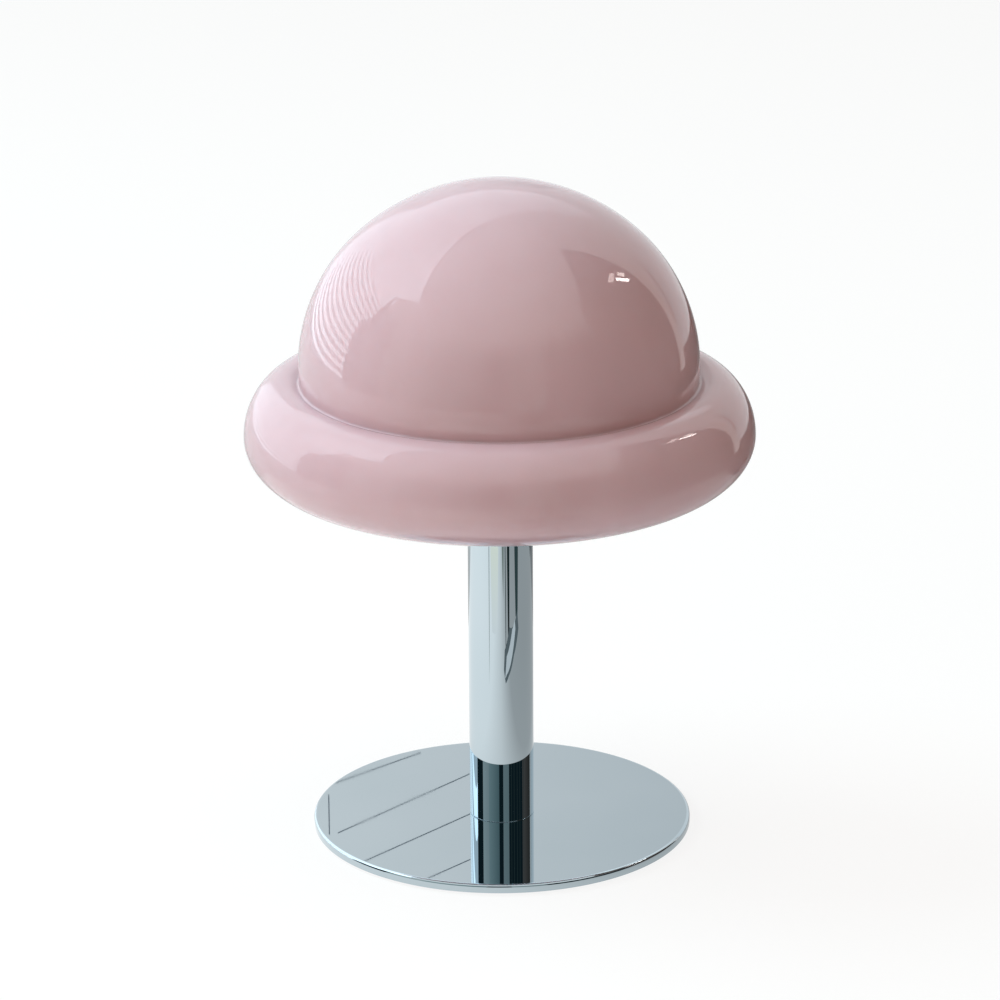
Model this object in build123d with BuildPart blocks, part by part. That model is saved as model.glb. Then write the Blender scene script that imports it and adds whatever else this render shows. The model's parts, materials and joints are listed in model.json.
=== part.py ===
from build123d import *
from math import acos, asin, cos, degrees, pi, radians, sin
import os

# Mushroom table lamp. A blown glass shade, a dome on a fat rolled brim, rests on a spun plate
# at the top of a chromed tube. The tube stands on a thin round steel foot. Inside the shade a
# screw-in lampholder carries an LED globe bulb, fed by two leads that run up inside the tube
# from a connector block beside the cord outlet.
#
# Millimetres. Z is up, and the origin is the centre of the underside of the pad.
# The cord outlet is at the back of the column, on +Y.

# ---- driving dimensions -------------------------------------------------------------------
LAMP_HEIGHT = 330.0
BRIM_DIAMETER = 250.0
DOME_DIAMETER = 195.8
FOOT_DIAMETER = 188.0
COLUMN_DIAMETER = 32.0

RUNNING_GAP = 0.05  # between a turned piece and the bore that it sits in
LOOSE_GAP = 0.2

# ---- foot ---------------------------------------------------------------------------------
PAD_THICKNESS = 1.0
PAD_INSET = 5.0
PAD_HOLE_RADIUS = 15.5
DISC_THICKNESS = 4.5
DISC_TOP_ROUND = 1.5
DISC_BOTTOM_ROUND = 0.8
DISC_BOTTOM = PAD_THICKNESS
DISC_TOP = DISC_BOTTOM + DISC_THICKNESS

FOOT_SCREW_COUNT = 3
FOOT_SCREW_CIRCLE = 8.5
FOOT_SCREW_RADIUS = 2.5
FOOT_SCREW_HEAD_RADIUS = 4.7
FOOT_SCREW_LENGTH = 12.0
FOOT_SCREW_SOCKET_RADIUS = 1.7
FOOT_SCREW_SOCKET_DEPTH = 1.6
FOOT_SCREW_CLEARANCE = 0.2
COUNTERSINK_ANGLE = 90

# ---- column -------------------------------------------------------------------------------
COLUMN_RADIUS = COLUMN_DIAMETER / 2
COLUMN_WALL = 1.5
COLUMN_BORE = COLUMN_RADIUS - COLUMN_WALL
COLUMN_TOP = 190.0
COLUMN_END_CHAMFER = 0.3
PLUG_RADIUS = COLUMN_BORE - RUNNING_GAP
FOOT_PLUG_HEIGHT = 12.0
FOOT_PLUG_SKIN = 2.0  # left above its blind holes
TOP_PLUG_HEIGHT = 14.0
PLUG_CHAMFER = 0.6

# ---- cord outlet --------------------------------------------------------------------------
GLAND_Z = 26.0
GLAND_BORE_RADIUS = 3.3
GLAND_SLEEVE_RADIUS = 4.9
GLAND_HOLE_RADIUS = GLAND_SLEEVE_RADIUS + RUNNING_GAP
GLAND_FLANGE_RADIUS = 6.6
GLAND_FLANGE_FACE = 18.4
GLAND_NOSE_FACE = 20.5
GLAND_NOSE_RADIUS = 4.6
GLAND_NOSE_TAPER = 8
GLAND_INNER_END = 11.5
GLAND_FLANGE_ROUND = 0.8

# ---- connector block and leads -------------------------------------------------------------
BLOCK_SIZE = (17.0, 9.0, 20.0)
BLOCK_BOTTOM = 42.0
BLOCK_ROUND = 1.0
TERMINAL_OFFSET = 4.2
TERMINAL_OUTER = 2.8
TERMINAL_BORE = 1.5
TERMINAL_LENGTH = 15.0
TERMINAL_SCREW_RADIUS = 1.2
TERMINAL_SCREW_SPACING = 9.0
SCREW_ACCESS_RADIUS = 1.7
SCREW_RECESS = 0.4  # how far the screws' heads lie under the block's face
SCREW_SLOT_WIDTH = 0.5
SCREW_SLOT_DEPTH = 0.8
LEAD_RADIUS = 1.2
LEAD_IN_TERMINAL = 6.0
LEAD_PAIR_OFFSET = 1.45
LEAD_BEND_IN_COLUMN = 60.0
LEAD_BEND_IN_HOLDER = 3.0
LEADS_START_TO_CLOSE = 120.0
LEADS_CLOSED = 160.0
LEAD_PAST_SCREW = 1.5

# ---- shade plate, gasket and the threaded stem ----------------------------------------------
PLATE_THICKNESS = 1.5
PLATE_RADIUS = 46.0
CROWN_RADIUS = 32.0
CROWN_DEPTH = 6.0
CROWN_TOP = COLUMN_TOP + PLATE_THICKNESS
FLANGE_TOP = CROWN_TOP - CROWN_DEPTH
PLATE_BEND = 1.2
GASKET_THICKNESS = 2.0
GASKET_OUTER = 43.0
GASKET_LIP_RADIUS = 34.5
GASKET_LIP_HEIGHT = 4.5
GASKET_ROUND = 0.6
GLASS_SEAT = FLANGE_TOP + GASKET_THICKNESS

STEM_RADIUS = 5.0
STEM_BORE = 3.6
STEM_BOTTOM = 172.0
STEM_TOP = 206.0
STEM_CHAMFER = 0.5
WASHER_RADIUS = 9.5
WASHER_THICKNESS = 0.8
WASHER_TEETH = 12
WASHER_TOOTH_DEPTH = 1.4
NUT_ACROSS_FLATS = 14.0
NUT_HEIGHT = 4.0
NUT_CHAMFER = 0.5

# ---- glass shade --------------------------------------------------------------------------
GLASS_WALL = 3.0
DOME_CROWN_RADIUS = 102.6
DOME_SHOULDER_RADIUS = 87.4
CREASE_Z = 231.2
DOME_FOOT = 1.5
CREASE_ROUND_OUT = 0.9
CREASE_ROUND_IN = 2.5
BRIM_RADIUS = BRIM_DIAMETER / 2
BRIM_EQUATOR_Z = 205.0
BRIM_TOP_R = 103.0
BRIM_TOP_Z = 232.5
BRIM_BOTTOM_R = 93.0
BRIM_BOTTOM_Z = 181.0
SEAT_OUTER_R = 47.0
OPENING_RADIUS = 35.5
RIM_ROUND = 1.0

# ---- lampholder -----------------------------------------------------------------------------
HOLDER_BOTTOM = CROWN_TOP + WASHER_THICKNESS + NUT_HEIGHT
HOLDER_NECK_RADIUS = 9.5
HOLDER_NECK_HEIGHT = 3.5
HOLDER_RADIUS = 19.5
HOLDER_FLARE_TOP = 208.5
HOLDER_SPLIT = 214.0
HOLDER_TOP = 250.0
HOLDER_WALL = 2.0
HOLDER_FLOOR = 203.0
SLEEVE_BORE = 16.2
SLEEVE_LIP_RADIUS = 14.3
SLEEVE_LIP_HEIGHT = 4.0
SLEEVE_SPIGOT_DEPTH = 4.0
SLEEVE_RIBS = 24
SLEEVE_RIB_RADIUS = 0.7
SLEEVE_RIB_STOP = 6.0  # below the sleeve's top
SLEEVE_TOP_ROUND = 2.5
INSERT_RADIUS = 15.6
INSERT_TOP = 222.0
INSERT_CHAMFER = 0.6
SHELL_BORE = 13.35
SHELL_WALL = 0.4
SHELL_TOP = 245.0
SHELL_FLOOR_HOLE = 8.2
POST_RADIUS = 1.2
LIVE_POST_X = 6.0
NEUTRAL_POST_X = -10.5
POST_ROOT = 1.0  # how far each post starts inside its clamp
HOLDER_TERMINAL_WIDTH = 6.0
HOLDER_TERMINAL_HEIGHT = 6.0
HOLDER_TERMINAL_INNER = 4.6
HOLDER_TERMINAL_OUTER = 12.2
HOLDER_TERMINAL_BORE = 1.4
HOLDER_LEAD_Z = HOLDER_SPLIT - HOLDER_TERMINAL_HEIGHT / 2 - 0.6
HOLDER_SCREW_X = 9.6
HOLDER_SCREW_RADIUS = 1.3
HOLDER_SCREW_HEAD_RADIUS = 2.2
HOLDER_SCREW_HEAD_HEIGHT = 1.6
HOLDER_SCREW_SLOT_WIDTH = 0.6
HOLDER_SCREW_SLOT_DEPTH = 0.45
SPRING_WIDTH = 4.0
SPRING_THICKNESS = 0.4
SPRING_MARGIN = 0.4  # around its post
SPRING_LEVEL = (-2.5, 2.0)  # the stretch in X that the bulb presses on
SPRING_TIP_X = -4.0
SPRING_TIP_DROP = 0.5
GRUB_SCREW_RADIUS = 1.5
GRUB_SCREW_Z = HOLDER_BOTTOM + HOLDER_NECK_HEIGHT / 2 + 0.2
GRUB_SCREW_PROUD = 0.5
GRUB_SCREW_SLOT_WIDTH = 0.5

# ---- bulb -----------------------------------------------------------------------------------
CONTACT_Z = 223.6
CONTACT_RADIUS = 4.6
CONTACT_STEM_RADIUS = 1.4
INSULATOR_BOTTOM = 224.6
CAP_BOTTOM = 227.4
CAP_TOP = 249.6
CAP_CREST = 13.1
CAP_ROOT = 12.3
CAP_PITCH = 3.63
CAP_THREADS = 5
CAP_WALL = 0.4
CAP_LEAD_IN = 1.2
CAP_LEAD_IN_STEP = 0.6
INSULATOR_BORE = CONTACT_STEM_RADIUS + 0.1
INSULATOR_MARGIN = 0.6  # around the contact
INSULATOR_PLUG_HEIGHT = 1.0
HOUSING_BOTTOM = 250.3
HOUSING_NECK_RADIUS = 13.7
HOUSING_SPIGOT_BOTTOM = 236.0
HOUSING_SPIGOT_RADIUS = CAP_ROOT - CAP_WALL - RUNNING_GAP
HOUSING_TOP = 272.0
HOUSING_WALL = 1.4
HOUSING_BAND = 2.0  # the straight rings at its neck and its top
HOUSING_FLOOR = 3.0
LED_LEDGE = 2.5
GLOBE_RADIUS = 22.5
GLOBE_CENTRE_Z = 273.0
GLOBE_WALL = 1.2
GLOBE_SPIGOT_DEPTH = 2.0
LED_PLATE_Z = 267.0
LED_PLATE_THICKNESS = 1.5
LED_PLATE_WIRE_HOLE = 1.5
LED_COUNT = 8
LED_CIRCLE = 12.0
LED_SIZE = (3.5, 2.8, 0.8)
DRIVER_SIZE = (15.0, 1.2, 28.0)
DRIVER_BOTTOM = 236.0
DRIVER_CAPACITOR_RADIUS = 3.4
DRIVER_CAPACITOR_RISE = 18.0
DRIVER_CHOKE_SIZE = (6.0, 7.0)
DRIVER_CHOKE_PLACE = (-2.5, 7.0)
DRIVER_PART_HEIGHT = 5.0


def turned(section_points):
    """A solid of revolution about Z from a closed outline of (radius, height) corners."""
    with BuildPart() as piece:
        with BuildSketch(Plane.XZ):
            with BuildLine():
                Polyline(*section_points, close=True)
            make_face()
        revolve(axis=Axis.Z)
    return piece


# ---- foot: pad, disc, plug and screws -------------------------------------------------------
with BuildPart() as foot_pad:
    with BuildSketch():
        Circle(FOOT_DIAMETER / 2 - PAD_INSET)
        Circle(PAD_HOLE_RADIUS, mode=Mode.SUBTRACT)
    extrude(amount=PAD_THICKNESS)

with BuildPart() as foot_disc:
    with BuildSketch(Plane.XY.offset(DISC_BOTTOM)):
        Circle(FOOT_DIAMETER / 2)
    extrude(amount=DISC_THICKNESS)
    fillet(foot_disc.edges().sort_by(Axis.Z)[-1], radius=DISC_TOP_ROUND)
    fillet(foot_disc.edges().group_by(Axis.Z)[0], radius=DISC_BOTTOM_ROUND)
    with Locations(foot_disc.faces().sort_by(Axis.Z)[0]):
        with PolarLocations(FOOT_SCREW_CIRCLE, FOOT_SCREW_COUNT):
            CounterSinkHole(
                FOOT_SCREW_RADIUS + FOOT_SCREW_CLEARANCE,
                FOOT_SCREW_HEAD_RADIUS + FOOT_SCREW_CLEARANCE,
                counter_sink_angle=COUNTERSINK_ANGLE,
            )

with BuildPart() as foot_plug:
    with BuildSketch(Plane.XY.offset(DISC_TOP)):
        Circle(PLUG_RADIUS)
    extrude(amount=FOOT_PLUG_HEIGHT)
    chamfer(foot_plug.edges().sort_by(Axis.Z)[-1], length=PLUG_CHAMFER)
    with Locations(foot_plug.faces().sort_by(Axis.Z)[0]):
        with PolarLocations(FOOT_SCREW_CIRCLE, FOOT_SCREW_COUNT):
            Hole(FOOT_SCREW_RADIUS + RUNNING_GAP, depth=FOOT_PLUG_HEIGHT - FOOT_PLUG_SKIN)

with BuildPart() as foot_screws:
    head_height = FOOT_SCREW_HEAD_RADIUS - FOOT_SCREW_RADIUS
    with PolarLocations(FOOT_SCREW_CIRCLE, FOOT_SCREW_COUNT):
        with Locations((0, 0, DISC_BOTTOM + LOOSE_GAP)):
            Cone(
                FOOT_SCREW_HEAD_RADIUS,
                FOOT_SCREW_RADIUS,
                head_height,
                align=(Align.CENTER, Align.CENTER, Align.MIN),
            )
            Cylinder(
                FOOT_SCREW_RADIUS,
                FOOT_SCREW_LENGTH,
                align=(Align.CENTER, Align.CENTER, Align.MIN),
            )
    with BuildSketch(Plane.XY.offset(DISC_BOTTOM + LOOSE_GAP)):
        with PolarLocations(FOOT_SCREW_CIRCLE, FOOT_SCREW_COUNT):
            RegularPolygon(FOOT_SCREW_SOCKET_RADIUS, 6)
    extrude(amount=FOOT_SCREW_SOCKET_DEPTH, mode=Mode.SUBTRACT)

# ---- column tube, with the cord outlet's hole at the back -----------------------------------
with BuildPart() as column_tube:
    with BuildSketch(Plane.XY.offset(DISC_TOP)):
        Circle(COLUMN_RADIUS)
        Circle(COLUMN_BORE, mode=Mode.SUBTRACT)
    extrude(amount=COLUMN_TOP - DISC_TOP)
    outer_rims = column_tube.edges().filter_by(GeomType.CIRCLE)
    outer_rims = outer_rims.filter_by(lambda rim: rim.radius > COLUMN_BORE + RUNNING_GAP)
    chamfer(outer_rims, length=COLUMN_END_CHAMFER)
    with BuildSketch(Plane.XZ):
        with Locations((0, GLAND_Z)):
            Circle(GLAND_HOLE_RADIUS)
    extrude(amount=-2 * COLUMN_RADIUS, mode=Mode.SUBTRACT)

with BuildPart() as top_plug:
    with BuildSketch(Plane.XY.offset(COLUMN_TOP)):
        Circle(PLUG_RADIUS)
        Circle(STEM_RADIUS + RUNNING_GAP, mode=Mode.SUBTRACT)
    extrude(amount=-TOP_PLUG_HEIGHT)
    plug_rims = top_plug.edges().group_by(Axis.Z)[0]
    chamfer(plug_rims.sort_by(SortBy.RADIUS)[-1], length=PLUG_CHAMFER)

# ---- cord gland: a snap-in bush with a saddle that fits the round tube ------------------------
with BuildPart() as cord_gland:
    with BuildSketch(Plane.XZ.offset(-COLUMN_BORE)):
        with Locations((0, GLAND_Z)):
            Circle(GLAND_FLANGE_RADIUS)
    extrude(amount=COLUMN_BORE - GLAND_FLANGE_FACE)
    fillet(cord_gland.edges().group_by(Axis.Y)[-1], radius=GLAND_FLANGE_ROUND)
    with BuildSketch():
        Circle(COLUMN_RADIUS + RUNNING_GAP)
    extrude(amount=2 * GLAND_Z, mode=Mode.SUBTRACT)
    with BuildSketch(Plane.XZ.offset(-GLAND_INNER_END)):
        with Locations((0, GLAND_Z)):
            Circle(GLAND_SLEEVE_RADIUS)
    extrude(amount=GLAND_INNER_END - GLAND_FLANGE_FACE + GLAND_FLANGE_ROUND)
    with BuildSketch(Plane.XZ.offset(-GLAND_FLANGE_FACE + GLAND_FLANGE_ROUND)):
        with Locations((0, GLAND_Z)):
            Circle(GLAND_NOSE_RADIUS)
    extrude(amount=GLAND_FLANGE_FACE - GLAND_FLANGE_ROUND - GLAND_NOSE_FACE, taper=GLAND_NOSE_TAPER)
    with BuildSketch(Plane.XZ):
        with Locations((0, GLAND_Z)):
            Circle(GLAND_BORE_RADIUS)
    extrude(amount=-2 * COLUMN_RADIUS, mode=Mode.SUBTRACT)

# ---- connector block in the column ------------------------------------------------------------
block_middle = BLOCK_BOTTOM + BLOCK_SIZE[2] / 2
terminal_bottom = block_middle - TERMINAL_LENGTH / 2
terminal_top = block_middle + TERMINAL_LENGTH / 2
terminal_spots = [(-TERMINAL_OFFSET, 0), (TERMINAL_OFFSET, 0)]
block_front = BLOCK_SIZE[1] / 2
screw_face = block_front - SCREW_RECESS

with BuildPart() as connector_block:
    with BuildSketch(Plane.XY.offset(BLOCK_BOTTOM)):
        Rectangle(BLOCK_SIZE[0], BLOCK_SIZE[1])
    extrude(amount=BLOCK_SIZE[2])
    fillet(connector_block.edges().filter_by(Axis.Z), radius=BLOCK_ROUND)
    with BuildSketch(Plane.XY.offset(BLOCK_BOTTOM)):
        with Locations(*terminal_spots):
            Circle(TERMINAL_OUTER + RUNNING_GAP)
    extrude(amount=BLOCK_SIZE[2], mode=Mode.SUBTRACT)
    with BuildSketch(Plane.XZ):
        with Locations((0, block_middle)):
            with GridLocations(2 * TERMINAL_OFFSET, TERMINAL_SCREW_SPACING, 2, 2):
                Circle(SCREW_ACCESS_RADIUS)
    extrude(amount=block_front, mode=Mode.SUBTRACT)

with BuildPart() as connector_terminals:
    with BuildSketch(Plane.XY.offset(terminal_bottom)):
        with Locations(*terminal_spots):
            Circle(TERMINAL_OUTER)
            Circle(TERMINAL_BORE, mode=Mode.SUBTRACT)
    extrude(amount=TERMINAL_LENGTH)
    with BuildSketch(Plane.XZ):
        with Locations((0, block_middle)):
            with GridLocations(2 * TERMINAL_OFFSET, TERMINAL_SCREW_SPACING, 2, 2):
                Circle(TERMINAL_SCREW_RADIUS + RUNNING_GAP)
    extrude(amount=block_front, mode=Mode.SUBTRACT)

with BuildPart() as connector_screws:
    with BuildSketch(Plane.XZ.offset(LEAD_RADIUS + RUNNING_GAP)):
        with Locations((0, block_middle)):
            with GridLocations(2 * TERMINAL_OFFSET, TERMINAL_SCREW_SPACING, 2, 2):
                Circle(TERMINAL_SCREW_RADIUS)
    extrude(amount=screw_face - LEAD_RADIUS - RUNNING_GAP)
    with BuildSketch(Plane.XZ.offset(screw_face - SCREW_SLOT_DEPTH)):
        with Locations((0, block_middle)):
            with GridLocations(2 * TERMINAL_OFFSET, TERMINAL_SCREW_SPACING, 2, 2):
                Rectangle(2 * TERMINAL_SCREW_RADIUS, SCREW_SLOT_WIDTH)
    extrude(amount=SCREW_SLOT_DEPTH, mode=Mode.SUBTRACT)

# ---- spun shade plate, gasket and the threaded stem with its washer and nut --------------------
plate_floor = FLANGE_TOP - PLATE_THICKNESS
with BuildPart() as shade_plate:
    with BuildSketch(Plane.XZ) as plate_section:
        with BuildLine():
            Polyline(
                (STEM_RADIUS + LOOSE_GAP, CROWN_TOP - PLATE_THICKNESS),
                (STEM_RADIUS + LOOSE_GAP, CROWN_TOP),
                (CROWN_RADIUS, CROWN_TOP),
                (CROWN_RADIUS, FLANGE_TOP),
                (PLATE_RADIUS, FLANGE_TOP),
                (PLATE_RADIUS, plate_floor),
                (CROWN_RADIUS - PLATE_THICKNESS, plate_floor),
                (CROWN_RADIUS - PLATE_THICKNESS, CROWN_TOP - PLATE_THICKNESS),
                close=True,
            )
        make_face()
        crown_corner = plate_section.vertices().sort_by_distance((CROWN_RADIUS, CROWN_TOP))[0]
        fillet(crown_corner, radius=PLATE_BEND + PLATE_THICKNESS / 2)
        flange_corner = plate_section.vertices().sort_by_distance(
            (CROWN_RADIUS - PLATE_THICKNESS, plate_floor)
        )[0]
        fillet(flange_corner, radius=PLATE_BEND)
        rim_corners = plate_section.vertices().group_by(Axis.X)[-1]
        fillet(rim_corners, radius=PLATE_THICKNESS / 2 - RUNNING_GAP)
    revolve(axis=Axis.Z)

with BuildPart() as shade_gasket:
    with BuildSketch(Plane.XZ) as gasket_section:
        with BuildLine():
            Polyline(
                (CROWN_RADIUS + LOOSE_GAP, FLANGE_TOP),
                (GASKET_OUTER, FLANGE_TOP),
                (GASKET_OUTER, GLASS_SEAT),
                (GASKET_LIP_RADIUS, GLASS_SEAT),
                (GASKET_LIP_RADIUS, FLANGE_TOP + GASKET_LIP_HEIGHT),
                (CROWN_RADIUS + LOOSE_GAP, FLANGE_TOP + GASKET_LIP_HEIGHT),
                close=True,
            )
        make_face()
        lip_edge = gasket_section.vertices().sort_by_distance(
            (GASKET_LIP_RADIUS, FLANGE_TOP + GASKET_LIP_HEIGHT)
        )[0]
        outer_edge = gasket_section.vertices().sort_by_distance((GASKET_OUTER, GLASS_SEAT))[0]
        fillet([lip_edge, outer_edge], radius=GASKET_ROUND)
    revolve(axis=Axis.Z)

with BuildPart() as threaded_stem:
    with BuildSketch(Plane.XY.offset(STEM_BOTTOM)):
        Circle(STEM_RADIUS)
        Circle(STEM_BORE, mode=Mode.SUBTRACT)
    extrude(amount=STEM_TOP - STEM_BOTTOM)
    stem_rims = threaded_stem.edges().filter_by(GeomType.CIRCLE)
    stem_rims = stem_rims.filter_by(lambda rim: rim.radius > STEM_BORE + RUNNING_GAP)
    chamfer(stem_rims, length=STEM_CHAMFER)

with BuildPart() as lock_washer:
    with BuildSketch(Plane.XY.offset(CROWN_TOP)):
        Circle(WASHER_RADIUS)
        Circle(STEM_RADIUS + LOOSE_GAP, mode=Mode.SUBTRACT)
        with PolarLocations(WASHER_RADIUS, WASHER_TEETH):
            Rectangle(2 * WASHER_TOOTH_DEPTH, WASHER_TOOTH_DEPTH, mode=Mode.SUBTRACT)
    extrude(amount=WASHER_THICKNESS)

with BuildPart() as stem_nut:
    with BuildSketch(Plane.XY.offset(CROWN_TOP + WASHER_THICKNESS)):
        RegularPolygon(NUT_ACROSS_FLATS / 2, 6, major_radius=False)
        Circle(STEM_RADIUS + RUNNING_GAP, mode=Mode.SUBTRACT)
    extrude(amount=NUT_HEIGHT)
    nut_corner_radius = NUT_ACROSS_FLATS / 2 / cos(pi / 6)
    with BuildSketch(Plane.XZ, mode=Mode.PRIVATE) as nut_cone:
        with BuildLine():
            Polyline(
                (STEM_RADIUS + LOOSE_GAP, HOLDER_BOTTOM),
                (NUT_ACROSS_FLATS / 2, HOLDER_BOTTOM),
                (nut_corner_radius, HOLDER_BOTTOM - NUT_CHAMFER),
                (nut_corner_radius, HOLDER_BOTTOM - NUT_HEIGHT - NUT_CHAMFER),
                (0, HOLDER_BOTTOM - NUT_HEIGHT - NUT_CHAMFER),
                (0, HOLDER_BOTTOM),
                close=True,
            )
        make_face()
    revolve(nut_cone.sketch, axis=Axis.Z, mode=Mode.INTERSECT)

# ---- glass shade -------------------------------------------------------------------------------
crown_centre_z = LAMP_HEIGHT - DOME_CROWN_RADIUS
shoulder_step = DOME_CROWN_RADIUS - DOME_SHOULDER_RADIUS
shoulder_centre_r = DOME_DIAMETER / 2 - DOME_SHOULDER_RADIUS
blend_angle = degrees(acos(shoulder_centre_r / shoulder_step))
shoulder_centre_z = crown_centre_z + shoulder_step * sin(radians(blend_angle))
middle_r = (BRIM_BOTTOM_R + SEAT_OUTER_R) / 2


def shade_outline(inset):
    """Draws one skin of the shade from the top of the dome to the opening, inset from the
    outer face. The dome is a crown arc and a shoulder arc, and the brim two quarter ellipses.
    Returns the skin's two ends and its crease."""
    crown = CenterArc(
        (0, crown_centre_z), DOME_CROWN_RADIUS - inset, 90, blend_angle - 90
    )
    shoulder_radius = DOME_SHOULDER_RADIUS - inset
    crease_z = CREASE_Z - inset
    foot_angle = degrees(asin((crease_z - shoulder_centre_z) / shoulder_radius))
    shoulder = CenterArc(
        (shoulder_centre_r, shoulder_centre_z), shoulder_radius, blend_angle, foot_angle - blend_angle
    )
    crease = shoulder @ 1
    TangentArc((BRIM_TOP_R, BRIM_TOP_Z - inset), crease, tangent=(-1, 0))
    EllipticalCenterArc(
        (BRIM_TOP_R, BRIM_EQUATOR_Z),
        BRIM_RADIUS - BRIM_TOP_R - inset,
        BRIM_TOP_Z - BRIM_EQUATOR_Z - inset,
        start_angle=0,
        arc_size=90,
    )
    EllipticalCenterArc(
        (BRIM_BOTTOM_R, BRIM_EQUATOR_Z),
        BRIM_RADIUS - BRIM_BOTTOM_R - inset,
        BRIM_EQUATOR_Z - BRIM_BOTTOM_Z - inset,
        start_angle=270,
        arc_size=90,
    )
    low, seat = BRIM_BOTTOM_Z + inset, GLASS_SEAT + inset
    middle = (middle_r, (low + seat) / 2)
    TangentArc((BRIM_BOTTOM_R, low), middle, tangent=(-1, 0))
    TangentArc((SEAT_OUTER_R, seat), middle, tangent=(1, 0))
    Line((SEAT_OUTER_R, seat), (OPENING_RADIUS, seat))
    return crown @ 0, (OPENING_RADIUS, seat), crease


with BuildPart() as glass_shade:
    with BuildSketch(Plane.XZ) as shade_section:
        with BuildLine():
            outer_top, outer_rim, outer_crease = shade_outline(0)
            inner_top, inner_rim, inner_crease = shade_outline(GLASS_WALL)
            Line(outer_top, inner_top)
            Line(outer_rim, inner_rim)
        make_face()
        fillet(shade_section.vertices().sort_by_distance(outer_crease)[0], radius=CREASE_ROUND_OUT)
        fillet(shade_section.vertices().sort_by_distance(inner_crease)[0], radius=CREASE_ROUND_IN)
        rim_corners = shade_section.vertices().sort_by_distance(outer_rim)[0:1]
        rim_corners += shade_section.vertices().sort_by_distance(inner_rim)[0:1]
        fillet(rim_corners, radius=RIM_ROUND)
    revolve(axis=Axis.Z)

# one blown piece, held as two that meet face to face just above the crease
parting = Plane.XY.offset(BRIM_TOP_Z + DOME_FOOT)
with BuildPart() as glass_dome:
    add(glass_shade.part)
    split(bisect_by=parting, keep=Keep.TOP)

with BuildPart() as glass_brim:
    add(glass_shade.part)
    split(bisect_by=parting, keep=Keep.BOTTOM)

# ---- lampholder ----------------------------------------------------------------------------------
with BuildPart() as holder_cap:
    with BuildSketch(Plane.XZ) as cap_section:
        with BuildLine():
            Polyline(
                (STEM_RADIUS + RUNNING_GAP, HOLDER_BOTTOM),
                (HOLDER_NECK_RADIUS, HOLDER_BOTTOM),
                (HOLDER_NECK_RADIUS, HOLDER_BOTTOM + HOLDER_NECK_HEIGHT),
                (HOLDER_RADIUS, HOLDER_FLARE_TOP),
                (HOLDER_RADIUS, HOLDER_SPLIT),
                (HOLDER_RADIUS - HOLDER_WALL, HOLDER_SPLIT),
                (HOLDER_RADIUS - HOLDER_WALL, HOLDER_FLARE_TOP + HOLDER_WALL / 2),
                (HOLDER_NECK_RADIUS + HOLDER_WALL, HOLDER_FLOOR),
                (STEM_RADIUS + RUNNING_GAP, HOLDER_FLOOR),
                close=True,
            )
        make_face()
        flare = cap_section.vertices().sort_by_distance((HOLDER_RADIUS, HOLDER_FLARE_TOP))[0]
        neck = cap_section.vertices().sort_by_distance(
            (HOLDER_NECK_RADIUS, HOLDER_BOTTOM + HOLDER_NECK_HEIGHT)
        )[0]
        fillet([flare, neck], radius=HOLDER_WALL)
    revolve(axis=Axis.Z)
    with BuildSketch(Plane.XZ):
        with Locations((0, GRUB_SCREW_Z)):
            Circle(GRUB_SCREW_RADIUS + RUNNING_GAP)
    extrude(amount=HOLDER_RADIUS, mode=Mode.SUBTRACT)

with BuildPart() as holder_grub_screw:
    with BuildSketch(Plane.XZ.offset(STEM_RADIUS + RUNNING_GAP)):
        with Locations((0, GRUB_SCREW_Z)):
            Circle(GRUB_SCREW_RADIUS)
    extrude(amount=HOLDER_NECK_RADIUS - STEM_RADIUS + GRUB_SCREW_PROUD - RUNNING_GAP)
    with BuildSketch(Plane.XZ.offset(HOLDER_NECK_RADIUS)):
        with Locations((0, GRUB_SCREW_Z)):
            Rectangle(2 * GRUB_SCREW_RADIUS, GRUB_SCREW_SLOT_WIDTH)
    extrude(amount=GRUB_SCREW_PROUD, mode=Mode.SUBTRACT)

sleeve_spigot_radius = HOLDER_RADIUS - HOLDER_WALL - RUNNING_GAP
with BuildPart() as holder_sleeve:
    with BuildSketch(Plane.XZ) as sleeve_section:
        with BuildLine():
            Polyline(
                (SLEEVE_BORE, HOLDER_SPLIT - SLEEVE_SPIGOT_DEPTH),
                (sleeve_spigot_radius, HOLDER_SPLIT - SLEEVE_SPIGOT_DEPTH),
                (sleeve_spigot_radius, HOLDER_SPLIT),
                (HOLDER_RADIUS, HOLDER_SPLIT),
                (HOLDER_RADIUS, HOLDER_TOP),
                (SLEEVE_LIP_RADIUS, HOLDER_TOP),
                (SLEEVE_LIP_RADIUS, HOLDER_TOP - SLEEVE_LIP_HEIGHT),
                (SLEEVE_BORE, HOLDER_TOP - SLEEVE_LIP_HEIGHT),
                close=True,
            )
        make_face()
        sleeve_shoulder = sleeve_section.vertices().sort_by_distance((HOLDER_RADIUS, HOLDER_TOP))[0]
        fillet(sleeve_shoulder, radius=SLEEVE_TOP_ROUND)
    revolve(axis=Axis.Z)
    with BuildSketch(Plane.XY.offset(HOLDER_SPLIT)):
        with PolarLocations(HOLDER_RADIUS, SLEEVE_RIBS):
            Circle(SLEEVE_RIB_RADIUS)
    extrude(amount=HOLDER_TOP - HOLDER_SPLIT - SLEEVE_RIB_STOP, mode=Mode.SUBTRACT)

with BuildPart() as holder_insert:
    with BuildSketch(Plane.XY.offset(HOLDER_SPLIT)):
        Circle(INSERT_RADIUS)
        with Locations((LIVE_POST_X, 0), (NEUTRAL_POST_X, 0)):
            Circle(POST_RADIUS + RUNNING_GAP, mode=Mode.SUBTRACT)
    extrude(amount=INSERT_TOP - HOLDER_SPLIT)
    insert_rims = holder_insert.edges().group_by(Axis.Z)[-1]
    chamfer(insert_rims.sort_by(SortBy.RADIUS)[-1], length=INSERT_CHAMFER)

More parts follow.
